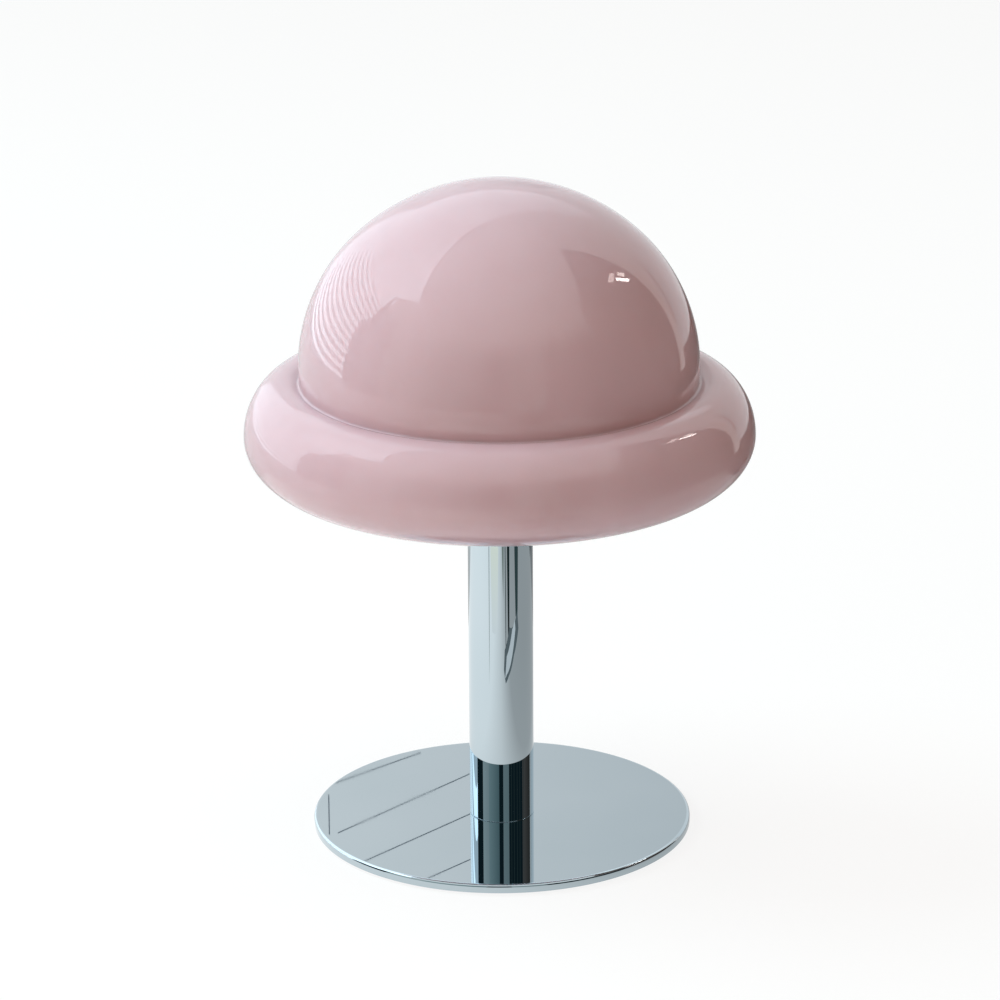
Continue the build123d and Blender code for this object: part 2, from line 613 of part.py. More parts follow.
holder_shell = turned(
    [
        (SHELL_FLOOR_HOLE, INSERT_TOP),
        (SHELL_BORE + SHELL_WALL, INSERT_TOP),
        (SHELL_BORE + SHELL_WALL, SHELL_TOP),
        (SHELL_BORE, SHELL_TOP),
        (SHELL_BORE, INSERT_TOP + SHELL_WALL),
        (SHELL_FLOOR_HOLE, INSERT_TOP + SHELL_WALL),
    ]
)


def holder_terminal(side, post_x):
    """A brass clamp under the insert, with the post that carries it up through the insert.
    side is 1 for the live side and -1 for the neutral side."""
    block_x = side * (HOLDER_TERMINAL_INNER + HOLDER_TERMINAL_OUTER) / 2
    block_length = HOLDER_TERMINAL_OUTER - HOLDER_TERMINAL_INNER
    bottom = HOLDER_SPLIT - HOLDER_TERMINAL_HEIGHT
    with BuildPart() as terminal:
        with BuildSketch(Plane.XY.offset(bottom)):
            with Locations((block_x, 0)):
                Rectangle(block_length, HOLDER_TERMINAL_WIDTH)
        extrude(amount=HOLDER_TERMINAL_HEIGHT)
        with BuildSketch(Plane.XY.offset(HOLDER_SPLIT - POST_ROOT)):
            with Locations((post_x, 0)):
                Circle(POST_RADIUS)
        extrude(amount=INSERT_TOP - HOLDER_SPLIT + POST_ROOT)
        with BuildSketch(Plane.YZ.offset(block_x)):
            with Locations((0, HOLDER_LEAD_Z)):
                Circle(HOLDER_TERMINAL_BORE)
        extrude(amount=block_length, both=True, mode=Mode.SUBTRACT)
        with BuildSketch(Plane.XZ):
            with Locations((side * HOLDER_SCREW_X, HOLDER_LEAD_Z)):
                Circle(HOLDER_SCREW_RADIUS + RUNNING_GAP)
        extrude(amount=HOLDER_TERMINAL_WIDTH, mode=Mode.SUBTRACT)
    return terminal


live_terminal = holder_terminal(1, LIVE_POST_X)
neutral_terminal = holder_terminal(-1, NEUTRAL_POST_X)

screw_head_foot = HOLDER_TERMINAL_WIDTH / 2 + RUNNING_GAP
with BuildPart() as holder_terminal_screws:
    with BuildSketch(Plane.XZ.offset(LEAD_RADIUS + RUNNING_GAP)):
        with Locations((-HOLDER_SCREW_X, HOLDER_LEAD_Z), (HOLDER_SCREW_X, HOLDER_LEAD_Z)):
            Circle(HOLDER_SCREW_RADIUS)
    extrude(amount=HOLDER_TERMINAL_WIDTH / 2 - LEAD_RADIUS)
    with BuildSketch(Plane.XZ.offset(screw_head_foot)):
        with Locations((-HOLDER_SCREW_X, HOLDER_LEAD_Z), (HOLDER_SCREW_X, HOLDER_LEAD_Z)):
            Circle(HOLDER_SCREW_HEAD_RADIUS)
    extrude(amount=HOLDER_SCREW_HEAD_HEIGHT)
    with BuildSketch(Plane.XZ.offset(screw_head_foot + HOLDER_SCREW_HEAD_HEIGHT)):
        with Locations((-HOLDER_SCREW_X, HOLDER_LEAD_Z), (HOLDER_SCREW_X, HOLDER_LEAD_Z)):
            Rectangle(2 * HOLDER_SCREW_HEAD_RADIUS, HOLDER_SCREW_SLOT_WIDTH)
    extrude(amount=-HOLDER_SCREW_SLOT_DEPTH, mode=Mode.SUBTRACT)

spring_foot = POST_RADIUS + SPRING_MARGIN
spring_top = CONTACT_Z - RUNNING_GAP
spring_underside = spring_top - SPRING_THICKNESS
with BuildPart() as centre_contact_spring:
    with BuildSketch(Plane.XZ):
        with BuildLine():
            Polyline(
                (LIVE_POST_X + spring_foot, INSERT_TOP),
                (LIVE_POST_X + spring_foot, INSERT_TOP + SPRING_THICKNESS),
                (LIVE_POST_X - spring_foot, INSERT_TOP + SPRING_THICKNESS),
                (SPRING_LEVEL[1], spring_top),
                (SPRING_LEVEL[0], spring_top),
                (SPRING_TIP_X, spring_top - SPRING_TIP_DROP),
                (SPRING_TIP_X, spring_underside - SPRING_TIP_DROP),
                (SPRING_LEVEL[0], spring_underside),
                (SPRING_LEVEL[1], spring_underside),
                (LIVE_POST_X - spring_foot, INSERT_TOP),
                close=True,
            )
        make_face()
    extrude(amount=SPRING_WIDTH / 2, both=True)

# ---- leads from the connector block, up the column and through the stem ------------------------
lead_end_z = terminal_top - LEAD_IN_TERMINAL


def lead(side):
    """One insulated lead, from its brass terminal in the connector to the lampholder."""
    outside, inside = side * TERMINAL_OFFSET, side * LEAD_PAIR_OFFSET
    with BuildPart() as wire:
        with BuildLine() as route:
            FilletPolyline(
                (outside, 0, lead_end_z),
                (outside, 0, LEADS_START_TO_CLOSE),
                (inside, 0, LEADS_CLOSED),
                (inside, 0, HOLDER_LEAD_Z),
                (side * (HOLDER_SCREW_X + LEAD_PAST_SCREW), 0, HOLDER_LEAD_Z),
                radius=[LEAD_BEND_IN_COLUMN, LEAD_BEND_IN_COLUMN, LEAD_BEND_IN_HOLDER],
            )
        with BuildSketch(Plane(route.line @ 0, z_dir=(0, 0, 1))):
            Circle(LEAD_RADIUS)
        sweep(path=route.line)
    return wire


lead_live = lead(1)
lead_neutral = lead(-1)

# ---- bulb: cap, insulator, contact, housing, board, driver and globe -----------------------------
cap_foot = CAP_ROOT - CAP_LEAD_IN_STEP
with BuildPart() as bulb_cap:
    with BuildSketch(Plane.XZ):
        with BuildLine():
            thread_bottom = CAP_BOTTOM + CAP_LEAD_IN
            thread_top = thread_bottom + CAP_THREADS * CAP_PITCH
            for skin in (0, CAP_WALL):
                root, crest = CAP_ROOT - skin, CAP_CREST - skin
                Line((root - CAP_LEAD_IN_STEP, CAP_BOTTOM), (root, thread_bottom))
                for turn in range(CAP_THREADS):
                    start = thread_bottom + turn * CAP_PITCH
                    ThreePointArc(
                        (root, start), (crest, start + CAP_PITCH / 2), (root, start + CAP_PITCH)
                    )
                Line((root, thread_top), (root, CAP_TOP))
            Line((cap_foot, CAP_BOTTOM), (cap_foot - CAP_WALL, CAP_BOTTOM))
            Line((CAP_ROOT, CAP_TOP), (CAP_ROOT - CAP_WALL, CAP_TOP))
        make_face()
    revolve(axis=Axis.Z)

insulator_plug = cap_foot - CAP_WALL - RUNNING_GAP * 2
bulb_insulator = turned(
    [
        (INSULATOR_BORE, INSULATOR_BOTTOM),
        (CONTACT_RADIUS + INSULATOR_MARGIN, INSULATOR_BOTTOM),
        (cap_foot - LOOSE_GAP, CAP_BOTTOM - RUNNING_GAP),
        (insulator_plug, CAP_BOTTOM - RUNNING_GAP),
        (insulator_plug, CAP_BOTTOM + INSULATOR_PLUG_HEIGHT),
        (INSULATOR_BORE, CAP_BOTTOM + INSULATOR_PLUG_HEIGHT),
    ]
)

with BuildPart() as bulb_contact:
    with BuildSketch(Plane.XZ):
        with BuildLine():
            TangentArc((0, CONTACT_Z), (CONTACT_RADIUS, INSULATOR_BOTTOM), tangent=(1, 0))
            Polyline(
                (CONTACT_RADIUS, INSULATOR_BOTTOM),
                (CONTACT_STEM_RADIUS, INSULATOR_BOTTOM),
                (CONTACT_STEM_RADIUS, CAP_BOTTOM),
                (0, CAP_BOTTOM),
                (0, CONTACT_Z),
            )
        make_face()
    revolve(axis=Axis.Z)

housing_inner_top = GLOBE_RADIUS - HOUSING_WALL
with BuildPart() as bulb_housing:
    with BuildSketch(Plane.XZ):
        with BuildLine():
            TangentArc(
                (GLOBE_RADIUS, HOUSING_TOP - HOUSING_BAND),
                (HOUSING_NECK_RADIUS, HOUSING_BOTTOM + HOUSING_BAND),
                tangent=(0, -1),
            )
            Polyline(
                (GLOBE_RADIUS, HOUSING_TOP - HOUSING_BAND),
                (GLOBE_RADIUS, HOUSING_TOP),
                (housing_inner_top, HOUSING_TOP),
                (housing_inner_top, LED_PLATE_Z),
                (housing_inner_top - LED_LEDGE, LED_PLATE_Z),
                (HOUSING_SPIGOT_RADIUS - HOUSING_WALL, HOUSING_BOTTOM + HOUSING_FLOOR),
                (HOUSING_SPIGOT_RADIUS - HOUSING_WALL, HOUSING_SPIGOT_BOTTOM),
                (HOUSING_SPIGOT_RADIUS, HOUSING_SPIGOT_BOTTOM),
                (HOUSING_SPIGOT_RADIUS, HOUSING_BOTTOM),
                (HOUSING_NECK_RADIUS, HOUSING_BOTTOM),
                (HOUSING_NECK_RADIUS, HOUSING_BOTTOM + HOUSING_BAND),
            )
        make_face()
    revolve(axis=Axis.Z)

with BuildPart() as bulb_globe:
    with BuildSketch(Plane.XZ):
        with BuildLine():
            Line((0, GLOBE_CENTRE_Z + GLOBE_RADIUS - GLOBE_WALL), (0, GLOBE_CENTRE_Z + GLOBE_RADIUS))
            CenterArc((0, GLOBE_CENTRE_Z), GLOBE_RADIUS, 0, 90)
            CenterArc((0, GLOBE_CENTRE_Z), GLOBE_RADIUS - GLOBE_WALL, 0, 90)
            Polyline(
                (GLOBE_RADIUS, GLOBE_CENTRE_Z),
                (GLOBE_RADIUS, HOUSING_TOP),
                (housing_inner_top - RUNNING_GAP, HOUSING_TOP),
                (housing_inner_top - RUNNING_GAP, HOUSING_TOP - GLOBE_SPIGOT_DEPTH),
                (housing_inner_top - GLOBE_WALL, HOUSING_TOP - GLOBE_SPIGOT_DEPTH),
                (housing_inner_top - GLOBE_WALL, HOUSING_TOP),
                (GLOBE_RADIUS - GLOBE_WALL, GLOBE_CENTRE_Z),
            )
        make_face()
    revolve(axis=Axis.Z)

with BuildPart() as led_plate:
    with BuildSketch(Plane.XY.offset(LED_PLATE_Z)):
        Circle(housing_inner_top - LOOSE_GAP)
        Circle(LED_PLATE_WIRE_HOLE, mode=Mode.SUBTRACT)
    extrude(amount=LED_PLATE_THICKNESS)

with BuildPart() as led_chips:
    with BuildSketch(Plane.XY.offset(LED_PLATE_Z + LED_PLATE_THICKNESS)):
        with PolarLocations(LED_CIRCLE, LED_COUNT):
            Rectangle(LED_SIZE[0], LED_SIZE[1])
    extrude(amount=LED_SIZE[2])

with BuildPart() as driver_board:
    with BuildSketch(Plane.XY.offset(DRIVER_BOTTOM)):
        Rectangle(DRIVER_SIZE[0], DRIVER_SIZE[1])
    extrude(amount=DRIVER_SIZE[2])
    with BuildSketch(Plane.XZ.offset(DRIVER_SIZE[1] / 2)):
        with Locations((0, DRIVER_BOTTOM + DRIVER_CAPACITOR_RISE)):
            Circle(DRIVER_CAPACITOR_RADIUS)
        with Locations((DRIVER_CHOKE_PLACE[0], DRIVER_BOTTOM + DRIVER_CHOKE_PLACE[1])):
            Rectangle(DRIVER_CHOKE_SIZE[0], DRIVER_CHOKE_SIZE[1])
    extrude(amount=DRIVER_PART_HEIGHT)

# ---- labels and files ----------------------------------------------------------------------------
pieces = {
    "foot_pad": foot_pad,
    "foot_disc": foot_disc,
    "foot_plug": foot_plug,
    "foot_screws": foot_screws,
    "column_tube": column_tube,
    "top_plug": top_plug,
    "cord_gland": cord_gland,
    "connector_block": connector_block,
    "connector_terminals": connector_terminals,
    "connector_screws": connector_screws,
    "lead_live": lead_live,
    "lead_neutral": lead_neutral,
    "threaded_stem": threaded_stem,
    "shade_plate": shade_plate,
    "shade_gasket": shade_gasket,
    "lock_washer": lock_washer,
    "stem_nut": stem_nut,
    "holder_cap": holder_cap,
    "holder_grub_screw": holder_grub_screw,
    "holder_insert": holder_insert,
    "live_terminal": live_terminal,
    "neutral_terminal": neutral_terminal,
    "holder_terminal_screws": holder_terminal_screws,
    "holder_shell": holder_shell,
    "centre_contact_spring": centre_contact_spring,
    "holder_sleeve": holder_sleeve,
    "bulb_cap": bulb_cap,
    "bulb_insulator": bulb_insulator,
    "bulb_contact": bulb_contact,
    "bulb_housing": bulb_housing,
    "driver_board": driver_board,
    "led_plate": led_plate,
    "led_chips": led_chips,
    "bulb_globe": bulb_globe,
    "glass_dome": glass_dome,
    "glass_brim": glass_brim,
}

os.makedirs("parts", exist_ok=True)
for name, piece in pieces.items():
    piece.part.label = name
    export_step(piece.part, f"parts/{name}.step")
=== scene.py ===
"""Mushroom table lamp: the looks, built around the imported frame.

The shade is cased glass, white inside and dusty pink outside, blown a little unevenly. The column
and the foot are mirror chrome. What shows on them is the studio: a bright window wall with a
slatted blind on the left, a grey sweep behind, a dark doorway on the right, a dim room in front
and a table below. Those are boards that reflections alone see.
"""

import json
import math

import bmesh
import bpy
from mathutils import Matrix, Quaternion, Vector


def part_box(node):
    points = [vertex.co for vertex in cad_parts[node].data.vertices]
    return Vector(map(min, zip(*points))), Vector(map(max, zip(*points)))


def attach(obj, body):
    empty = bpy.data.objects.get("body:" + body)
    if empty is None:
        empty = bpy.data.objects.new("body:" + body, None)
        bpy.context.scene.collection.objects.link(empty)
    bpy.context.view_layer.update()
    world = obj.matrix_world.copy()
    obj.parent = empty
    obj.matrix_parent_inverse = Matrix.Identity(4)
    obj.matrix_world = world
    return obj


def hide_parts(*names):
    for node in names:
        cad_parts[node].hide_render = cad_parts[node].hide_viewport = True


MM = 0.001

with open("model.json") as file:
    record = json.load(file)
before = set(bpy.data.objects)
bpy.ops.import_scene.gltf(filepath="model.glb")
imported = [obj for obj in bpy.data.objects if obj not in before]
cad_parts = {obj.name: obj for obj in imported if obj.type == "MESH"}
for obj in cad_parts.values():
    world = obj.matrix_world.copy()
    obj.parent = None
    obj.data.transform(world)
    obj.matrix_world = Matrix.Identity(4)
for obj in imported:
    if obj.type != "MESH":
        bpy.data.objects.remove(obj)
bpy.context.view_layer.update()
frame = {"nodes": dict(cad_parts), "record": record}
nodes = frame["nodes"]

# ---- sizes, in millimetres, from the frame where it has them --------------------------------
shade_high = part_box("glass_dome")[1] / MM
brim_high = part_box("glass_brim")[1] / MM
disc_low, disc_high = (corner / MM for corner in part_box("foot_disc"))
tube_low, tube_high = (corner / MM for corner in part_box("column_tube"))

BRIM_RADIUS = brim_high.x
SHADE_TOP = shade_high.z
DISC_RADIUS = disc_high.x
TUBE_RADIUS = tube_high.x

CREASE_ANGLE = 35  # in degrees: edges sharper than this stay sharp in the shading

GLASS_WALL = 3.0
DOME_RADIUS = 97.9
CROWN_ARC, SHOULDER_ARC = 102.6, 87.4
CREASE_Z = 231.2
CREASE_ROUND = 0.9
DOME_FOOT_RISE = 1.2  # the dome's arc ends this far above the crease
CREASE_NUDGE = 0.1
CREASE_RUN, CREASE_RISE = 2.0, 0.55  # the slope at which the brim leaves the crease
BRIM_TOP_R, BRIM_TOP_Z = 103.0, 232.5
BRIM_EQUATOR_Z = 205.0
BRIM_BOTTOM_R, BRIM_BOTTOM_Z = 93.0, 181.0
SEAT_R, SEAT_Z = 47.0, 187.5
OPENING_RADIUS = 35.5
OPENING_ROUND = 1.0
SHADE_TURNS = 208
CROWN_STEPS, SHOULDER_STEPS, CREASE_STEPS, SADDLE_STEPS = 40, 50, 8, 8
BRIM_TOP_STEPS, BRIM_BOTTOM_STEPS, UNDERSIDE_STEPS, SEAT_STEPS, RIM_STEPS = 40, 44, 24, 6, 12

BLOWN_INSET = 0.2
BLOWN_WAVES = [  # swing, lobes around, phase, height for each radian
    (0.11, 2, 0.7, 55),
    (0.07, 3, 0.0, -38),
    (0.035, 5, 1.3, 27),
]
BLOWN_SEAT_FADE, BLOWN_POLE_FADE = 25, 60  # the unevenness grows over these radii

TUBE_WALL = 1.5
TUBE_ROUND, BORE_ROUND = 0.3, 0.15
TUBE_TURNS = 256
GLAND_HOLE_RADIUS = 4.95
GLAND_Z = 26.0
GLAND_CUT = 12  # length of the cutter, half of it inside the tube
GLAND_HOLE_RING = 7.0  # the mesh has a ring this far above and below the hole
GLAND_TURNS = 96

DISC_ROUND_LOW, DISC_ROUND_HIGH = 0.8, 1.5
DISC_TURNS = 360
FOOT_SCREWS = 3
FOOT_SCREW_CIRCLE, FOOT_SCREW_HEAD, FOOT_SCREW_SHANK = 8.5, 4.9, 2.7
FOOT_HOLE_RING = 15.0  # the mesh has a ring here, around the screw holes
FOOT_HOLE_TURNS = 64
CUT_BELOW, CUT_ABOVE = 0.1, 1.0  # how far a screw hole's cutter sticks out

THREAD_PITCH = 3.63
THREAD_TURNS = 144
CAP_ROOT, CAP_FOOT_R, CAP_THREAD, CAP_WALL = 12.3, 11.7, 0.8, 0.4
CAP_FOOT_Z, CAP_THREAD_Z, CAP_TOP_Z = 227.4, 228.6, 249.6
CAP_PLAIN_TOP = 2.5
CAP_FOOT_ROWS, CAP_ROWS = 4, 100
SHELL_BORE, SHELL_THREAD, SHELL_WALL, SHELL_MOUTH = 13.25, 0.45, 0.4, 8.2
SHELL_FLOOR_Z, SHELL_TOP_Z = 222.0, 245.0
SHELL_PLAIN_FOOT, SHELL_PLAIN_TOP = 2, 1
SHELL_ROWS = 110
THREAD_CREASE = 50
SHADE_CREASE = 60


# ---- outlines: lists of (radius, height) points ----------------------------------------------
def arc_points(centre, radii, start, end, steps):
    """Points along a circle or ellipse, from one angle to another in degrees, ends included."""
    points = []
    for step in range(steps + 1):
        angle = math.radians(start + (end - start) * step / steps)
        points.append((centre[0] + radii[0] * math.cos(angle), centre[1] + radii[1] * math.sin(angle)))
    return points


def line_points(start, end, steps):
    """Points along a straight line, without its first end."""
    return [
        tuple(a + (b - a) * step / steps for a, b in zip(start, end)) for step in range(1, steps + 1)
    ]


def rounded(corner, before, after, radius, steps=6):
    """The points that round the corner of an outline which comes from before and goes to after."""
    corner, before, after = Vector(corner), Vector(before), Vector(after)
    u, v = (before - corner).normalized(), (after - corner).normalized()
    half = u.angle(v) / 2
    centre = corner + (u + v).normalized() * radius / math.sin(half)
    first = corner + u * radius / math.tan(half) - centre
    last = corner + v * radius / math.tan(half) - centre
    sweep = first.angle_signed(last)
    points = []
    for step in range(steps + 1):
        angle = -sweep * step / steps
        cosine, sine = math.cos(angle), math.sin(angle)
        points.append(
            (
                centre.x + first.x * cosine - first.y * sine,
                centre.y + first.x * sine + first.y * cosine,
            )
        )
    return points


def polygon_outline(corners):
    """An outline from corners (radius, height, rounding), with each corner rounded."""
    points = []
    for index, (r, z, rounding) in enumerate(corners):
        before, after = corners[index - 1], corners[(index + 1) % len(corners)]
        if rounding:
            points += rounded((r, z), before[:2], after[:2], rounding)
        else:
            points.append((r, z))
    return supported(points)


def supported(points, least=3.0, reach=0.4):
    """Adds a point near both ends of each long side, so that the shading of a flat side stays
    flat right up to its rounded ends."""
    held = []
    for index, point in enumerate(points):
        start, end = Vector(point), Vector(points[(index + 1) % len(points)])
        held.append(point)
        if (end - start).length > least:
            step = (end - start).normalized() * reach
            held += [tuple(start + step), tuple(end - step)]
    return held


def offset(points, distance):
    """The outline moved to its left by distance."""
    moved = []
    last = len(points) - 1
    for index, (r, z) in enumerate(points):
        r0, z0 = points[max(index - 1, 0)]
        r1, z1 = points[min(index + 1, last)]
        along = Vector((r1 - r0, z1 - z0)).normalized()
        moved.append((r - along.y * distance, z + along.x * distance))
    return moved


# ---- meshes ----------------------------------------------------------------------------------
def link(name, mesh):
    """Puts a mesh into the scene as an object."""
    piece = bpy.data.objects.new(name, mesh)
    bpy.context.scene.collection.objects.link(piece)
    return piece


def lathe(name, outline, turns, uneven=None, crease_angle=CREASE_ANGLE):
    """Revolves an outline of (radius, height) points, in millimetres, about Z. The outline is
    closed, and it may start and end on the axis. uneven(angle, radius, height) is added to a
    point's radius."""
    on_axis = [abs(r) < 1e-6 for r, z in outline]
    verts, rows = [], []
    for (r, z), centred in zip(outline, on_axis):
        rows.append(len(verts))
        for turn in range(1 if centred else turns):
            angle = 2 * math.pi * turn / turns
            radius = r + (uneven(angle, r, z) if uneven and not centred else 0)
            verts.append((radius * math.cos(angle) * MM, radius * math.sin(angle) * MM, z * MM))
    faces = []
    count = len(outline)
    closed = not (on_axis[0] and on_axis[-1])
    for index in range(count if closed else count - 1):
        after = (index + 1) % count
        for turn in range(turns):
            side = (turn + 1) % turns
            a, b = rows[index], rows[after]
            corners = [
                a if on_axis[index] else a + turn,
                b if on_axis[after] else b + turn,
                b if on_axis[after] else b + side,
                a if on_axis[index] else a + side,
            ]
            face = list(dict.fromkeys(corners))
            if len(face) > 2:
                faces.append(face)
    mesh = bpy.data.meshes.new(name)
    mesh.from_pydata(verts, [], faces)
    mesh.validate()
    turned = bmesh.new()
    turned.from_mesh(mesh)
    bmesh.ops.recalc_face_normals(turned, faces=turned.faces)
    turned.to_mesh(mesh)
    turned.free()
    mesh.shade_smooth()
    mesh.set_sharp_from_angle(angle=math.radians(crease_angle))
    return link(name, mesh)


def cut(piece, cutter):
    """Takes another object's shape out of a piece."""
    bpy.context.view_layer.update()
    modifier = piece.modifiers.new("cut", "BOOLEAN")
    modifier.operation = "DIFFERENCE"
    modifier.solver = "EXACT"
    modifier.object = cutter
    graph = bpy.context.evaluated_depsgraph_get()
    mesh = bpy.data.meshes.new_from_object(piece.evaluated_get(graph))
    piece.modifiers.clear()
    piece.data = mesh
    mesh.set_sharp_from_angle(angle=math.radians(CREASE_ANGLE))
    bpy.data.objects.remove(cutter)


# ---- material helpers ------------------------------------------------------------------------
def srgb(red, green, blue):
    """A colour written in sRGB from 0 to 255, as Blender's linear colour."""
    values = []
    for part in (red, green, blue):
        part /= 255
        values.append(part / 12.92 if part <= 0.04045 else ((part + 0.055) / 1.055) ** 2.4)
    return (*values, 1.0)


class Shader:
    """A node material under construction, with its Principled shader at hand."""

    def __init__(self, name, **settings):
        self.material = bpy.data.materials.new(name)
        self.material.use_nodes = True
        self.tree = self.material.node_tree
        self.main = self.tree.nodes["Principled BSDF"]
        for label, value in settings.items():
            self.main.inputs[label.replace("_", " ")].default_value = value
        self.place = self.add("ShaderNodeTexCoord").outputs["Object"]

    def add(self, kind, **settings):
        made = self.tree.nodes.new(kind)
        for label, value in settings.items():
            made.inputs[label].default_value = value
        return made

    def join(self, source, target):
        self.tree.links.new(source, target)

    def noise(self, scale, detail, stretch=(1, 1, 1)):
        """Noise in the object's own space, scale in cycles per metre."""
        mapping = self.add("ShaderNodeMapping", Scale=stretch)
        self.join(self.place, mapping.inputs["Vector"])
        made = self.add("ShaderNodeTexNoise", Scale=scale, Detail=detail)
        self.join(mapping.outputs["Vector"], made.inputs["Vector"])
        return made.outputs["Fac"]

    def colour(self, source, stops):
        """Gives the surface a colour between those of the stops, as the source says."""
        made = self.add("ShaderNodeValToRGB")
        ends = made.color_ramp.elements
        while len(ends) < len(stops):
            ends.new(0.5)
        for element, (position, colour) in zip(ends, stops):
            element.position = position
            element.color = colour
        self.join(source, made.inputs["Fac"])
        self.join(made.outputs["Color"], self.main.inputs["Base Color"])

    def roughness(self, source, low, high):
        """Lets the roughness drift from low to high over the middle range of a texture."""
        made = self.add("ShaderNodeMapRange")
        spans = {"From Min": 0.35, "From Max": 0.65, "To Min": low, "To Max": high}
        for label, value in spans.items():
            made.inputs[label].default_value = value
        self.join(source, made.inputs["Value"])
        self.join(made.outputs["Result"], self.main.inputs["Roughness"])

    def bump(self, source, strength, depth_mm):
        made = self.add("ShaderNodeBump", Strength=strength, Distance=depth_mm * MM)
        self.join(source, made.inputs["Height"])
        self.join(made.outputs["Normal"], self.main.inputs["Normal"])


def mottled(name, colour, other, scale, roughness, spread=0.08, grain=0, grain_depth=0.02, **more):
    """A plain moulded, plated or painted finish: two close colours in soft clouds, a roughness
    that drifts, and a fine grain."""
    shader = Shader(name, Roughness=roughness, **more)
    shader.colour(shader.noise(scale, 4), [(0.35, colour), (0.65, other)])
    shader.roughness(shader.noise(scale * 2.3, 3), roughness - spread, roughness + spread)
    if grain:
        shader.bump(shader.noise(grain, 3), 0.5, grain_depth)
    return shader.material


# ---- materials -------------------------------------------------------------------------------
def pink_glass():
    """The outer casing: dusty pink opal under a clear, fire-polished skin."""
    shader = Shader(
        "pink_cased_glass",
        Roughness=0.012,
        IOR=1.52,
        Subsurface_Weight=0.35,
        Subsurface_Radius=(1.0, 0.62, 0.6),
        Subsurface_Scale=0.006,
    )
    tints = [(0.3, srgb(188, 160, 167)), (0.5, srgb(185, 156, 163)), (0.7, srgb(181, 152, 158))]
    shader.colour(shader.noise(14, 3, stretch=(1, 1, 0.6)), tints)
    return shader.material


def white_glass():
    """The inner casing, which throws the bulb's light about."""
    shader = Shader(
        "white_cased_glass", Roughness=0.12, IOR=1.52, Subsurface_Weight=0.3, Subsurface_Scale=0.004
    )
    shader.colour(shader.noise(20, 3), [(0.3, srgb(240, 236, 233)), (0.7, srgb(232, 227, 225))])
    return shader.material


def mirror_chrome():
    """Chrome plate: a cool mirror with the faintest haze."""
    shader = Shader("chrome_plate", Metallic=1.0, Roughness=0.01)
    shader.colour(shader.noise(12, 2), [(0.3, srgb(184, 197, 203)), (0.7, srgb(180, 194, 200))])
    shader.roughness(shader.noise(36, 4), 0.006, 0.018)
    return shader.material


FINISHES = {
    "opal_glass": pink_glass(),
    "chrome": mirror_chrome(),
    "zinc_steel": mottled(
        "zinc_plate", srgb(176, 180, 186), srgb(160, 163, 168), 180, 0.3, grain=900, Metallic=1.0
    ),
    "nickel": mottled(
        "nickel_plate", srgb(196, 190, 180), srgb(184, 178, 168), 120, 0.22, Metallic=1.0
    ),
    "brass": mottled("brass", srgb(206, 170, 98), srgb(190, 152, 84), 150, 0.28, Metallic=1.0),
    "pad_foam": mottled(
        "foam_pad", srgb(44, 44, 46), srgb(36, 36, 38), 300, 0.85, grain=1400, grain_depth=0.2
    ),
    "gasket_silicone": mottled(
        "silicone", srgb(205, 204, 200), srgb(192, 191, 188), 90, 0.45, Subsurface_Weight=0.2
    ),
    "gland_nylon": mottled("black_nylon", srgb(34, 34, 36), srgb(28, 28, 30), 160, 0.42, grain=1200),
    "connector_nylon": mottled(
        "natural_nylon", srgb(226, 224, 214), srgb(216, 213, 202), 140, 0.4, grain=1000
    ),
    "live_insulation": mottled("brown_insulation", srgb(96, 58, 36), srgb(88, 52, 32), 200, 0.4),
    "neutral_insulation": mottled("blue_insulation", srgb(44, 92, 160), srgb(38, 84, 150), 200, 0.4),
    "holder_plastic": mottled(
        "black_thermoplastic", srgb(32, 32, 34), srgb(26, 26, 28), 120, 0.4, grain=1100
    ),
    "porcelain": mottled("porcelain", srgb(238, 236, 230), srgb(230, 227, 220), 90, 0.15, 0.04),
    "bulb_white": mottled(
        "bulb_housing_white", srgb(236, 236, 233), srgb(229, 229, 226), 110, 0.38, grain=1200
    ),
    "bulb_black": mottled("bulb_glass_black", srgb(20, 20, 24), srgb(14, 14, 18), 100, 0.15, 0.05),
    "bulb_diffuser": mottled(
        "frosted_diffuser", srgb(242, 241, 236), srgb(236, 235, 230), 70, 0.4, Subsurface_Weight=0.4
    ),
    "led_plate_aluminium": mottled(
        "white_solder_mask", srgb(232, 232, 230), srgb(224, 224, 222), 200, 0.35
    ),
    "led_phosphor": mottled("phosphor", srgb(238, 206, 96), srgb(228, 194, 84), 400, 0.3),
    "circuit_board": mottled("circuit_board", srgb(40, 106, 60), srgb(34, 96, 54), 350, 0.35),
}


def dress_nodes():
    """Gives each CAD node the finish of its slot."""
    for subpart in frame["record"]["subparts"]:
        piece = nodes[subpart["node"]]
        piece.data.materials.clear()
        piece.data.materials.append(FINISHES[subpart["material_slot"]])


def finish(piece, slot_name, body, *replaced):
    """Gives a piece its material, and puts it on its body in place of the nodes named."""
    piece.data.materials.append(FINISHES[slot_name])
    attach(piece, body)
    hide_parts(*replaced)


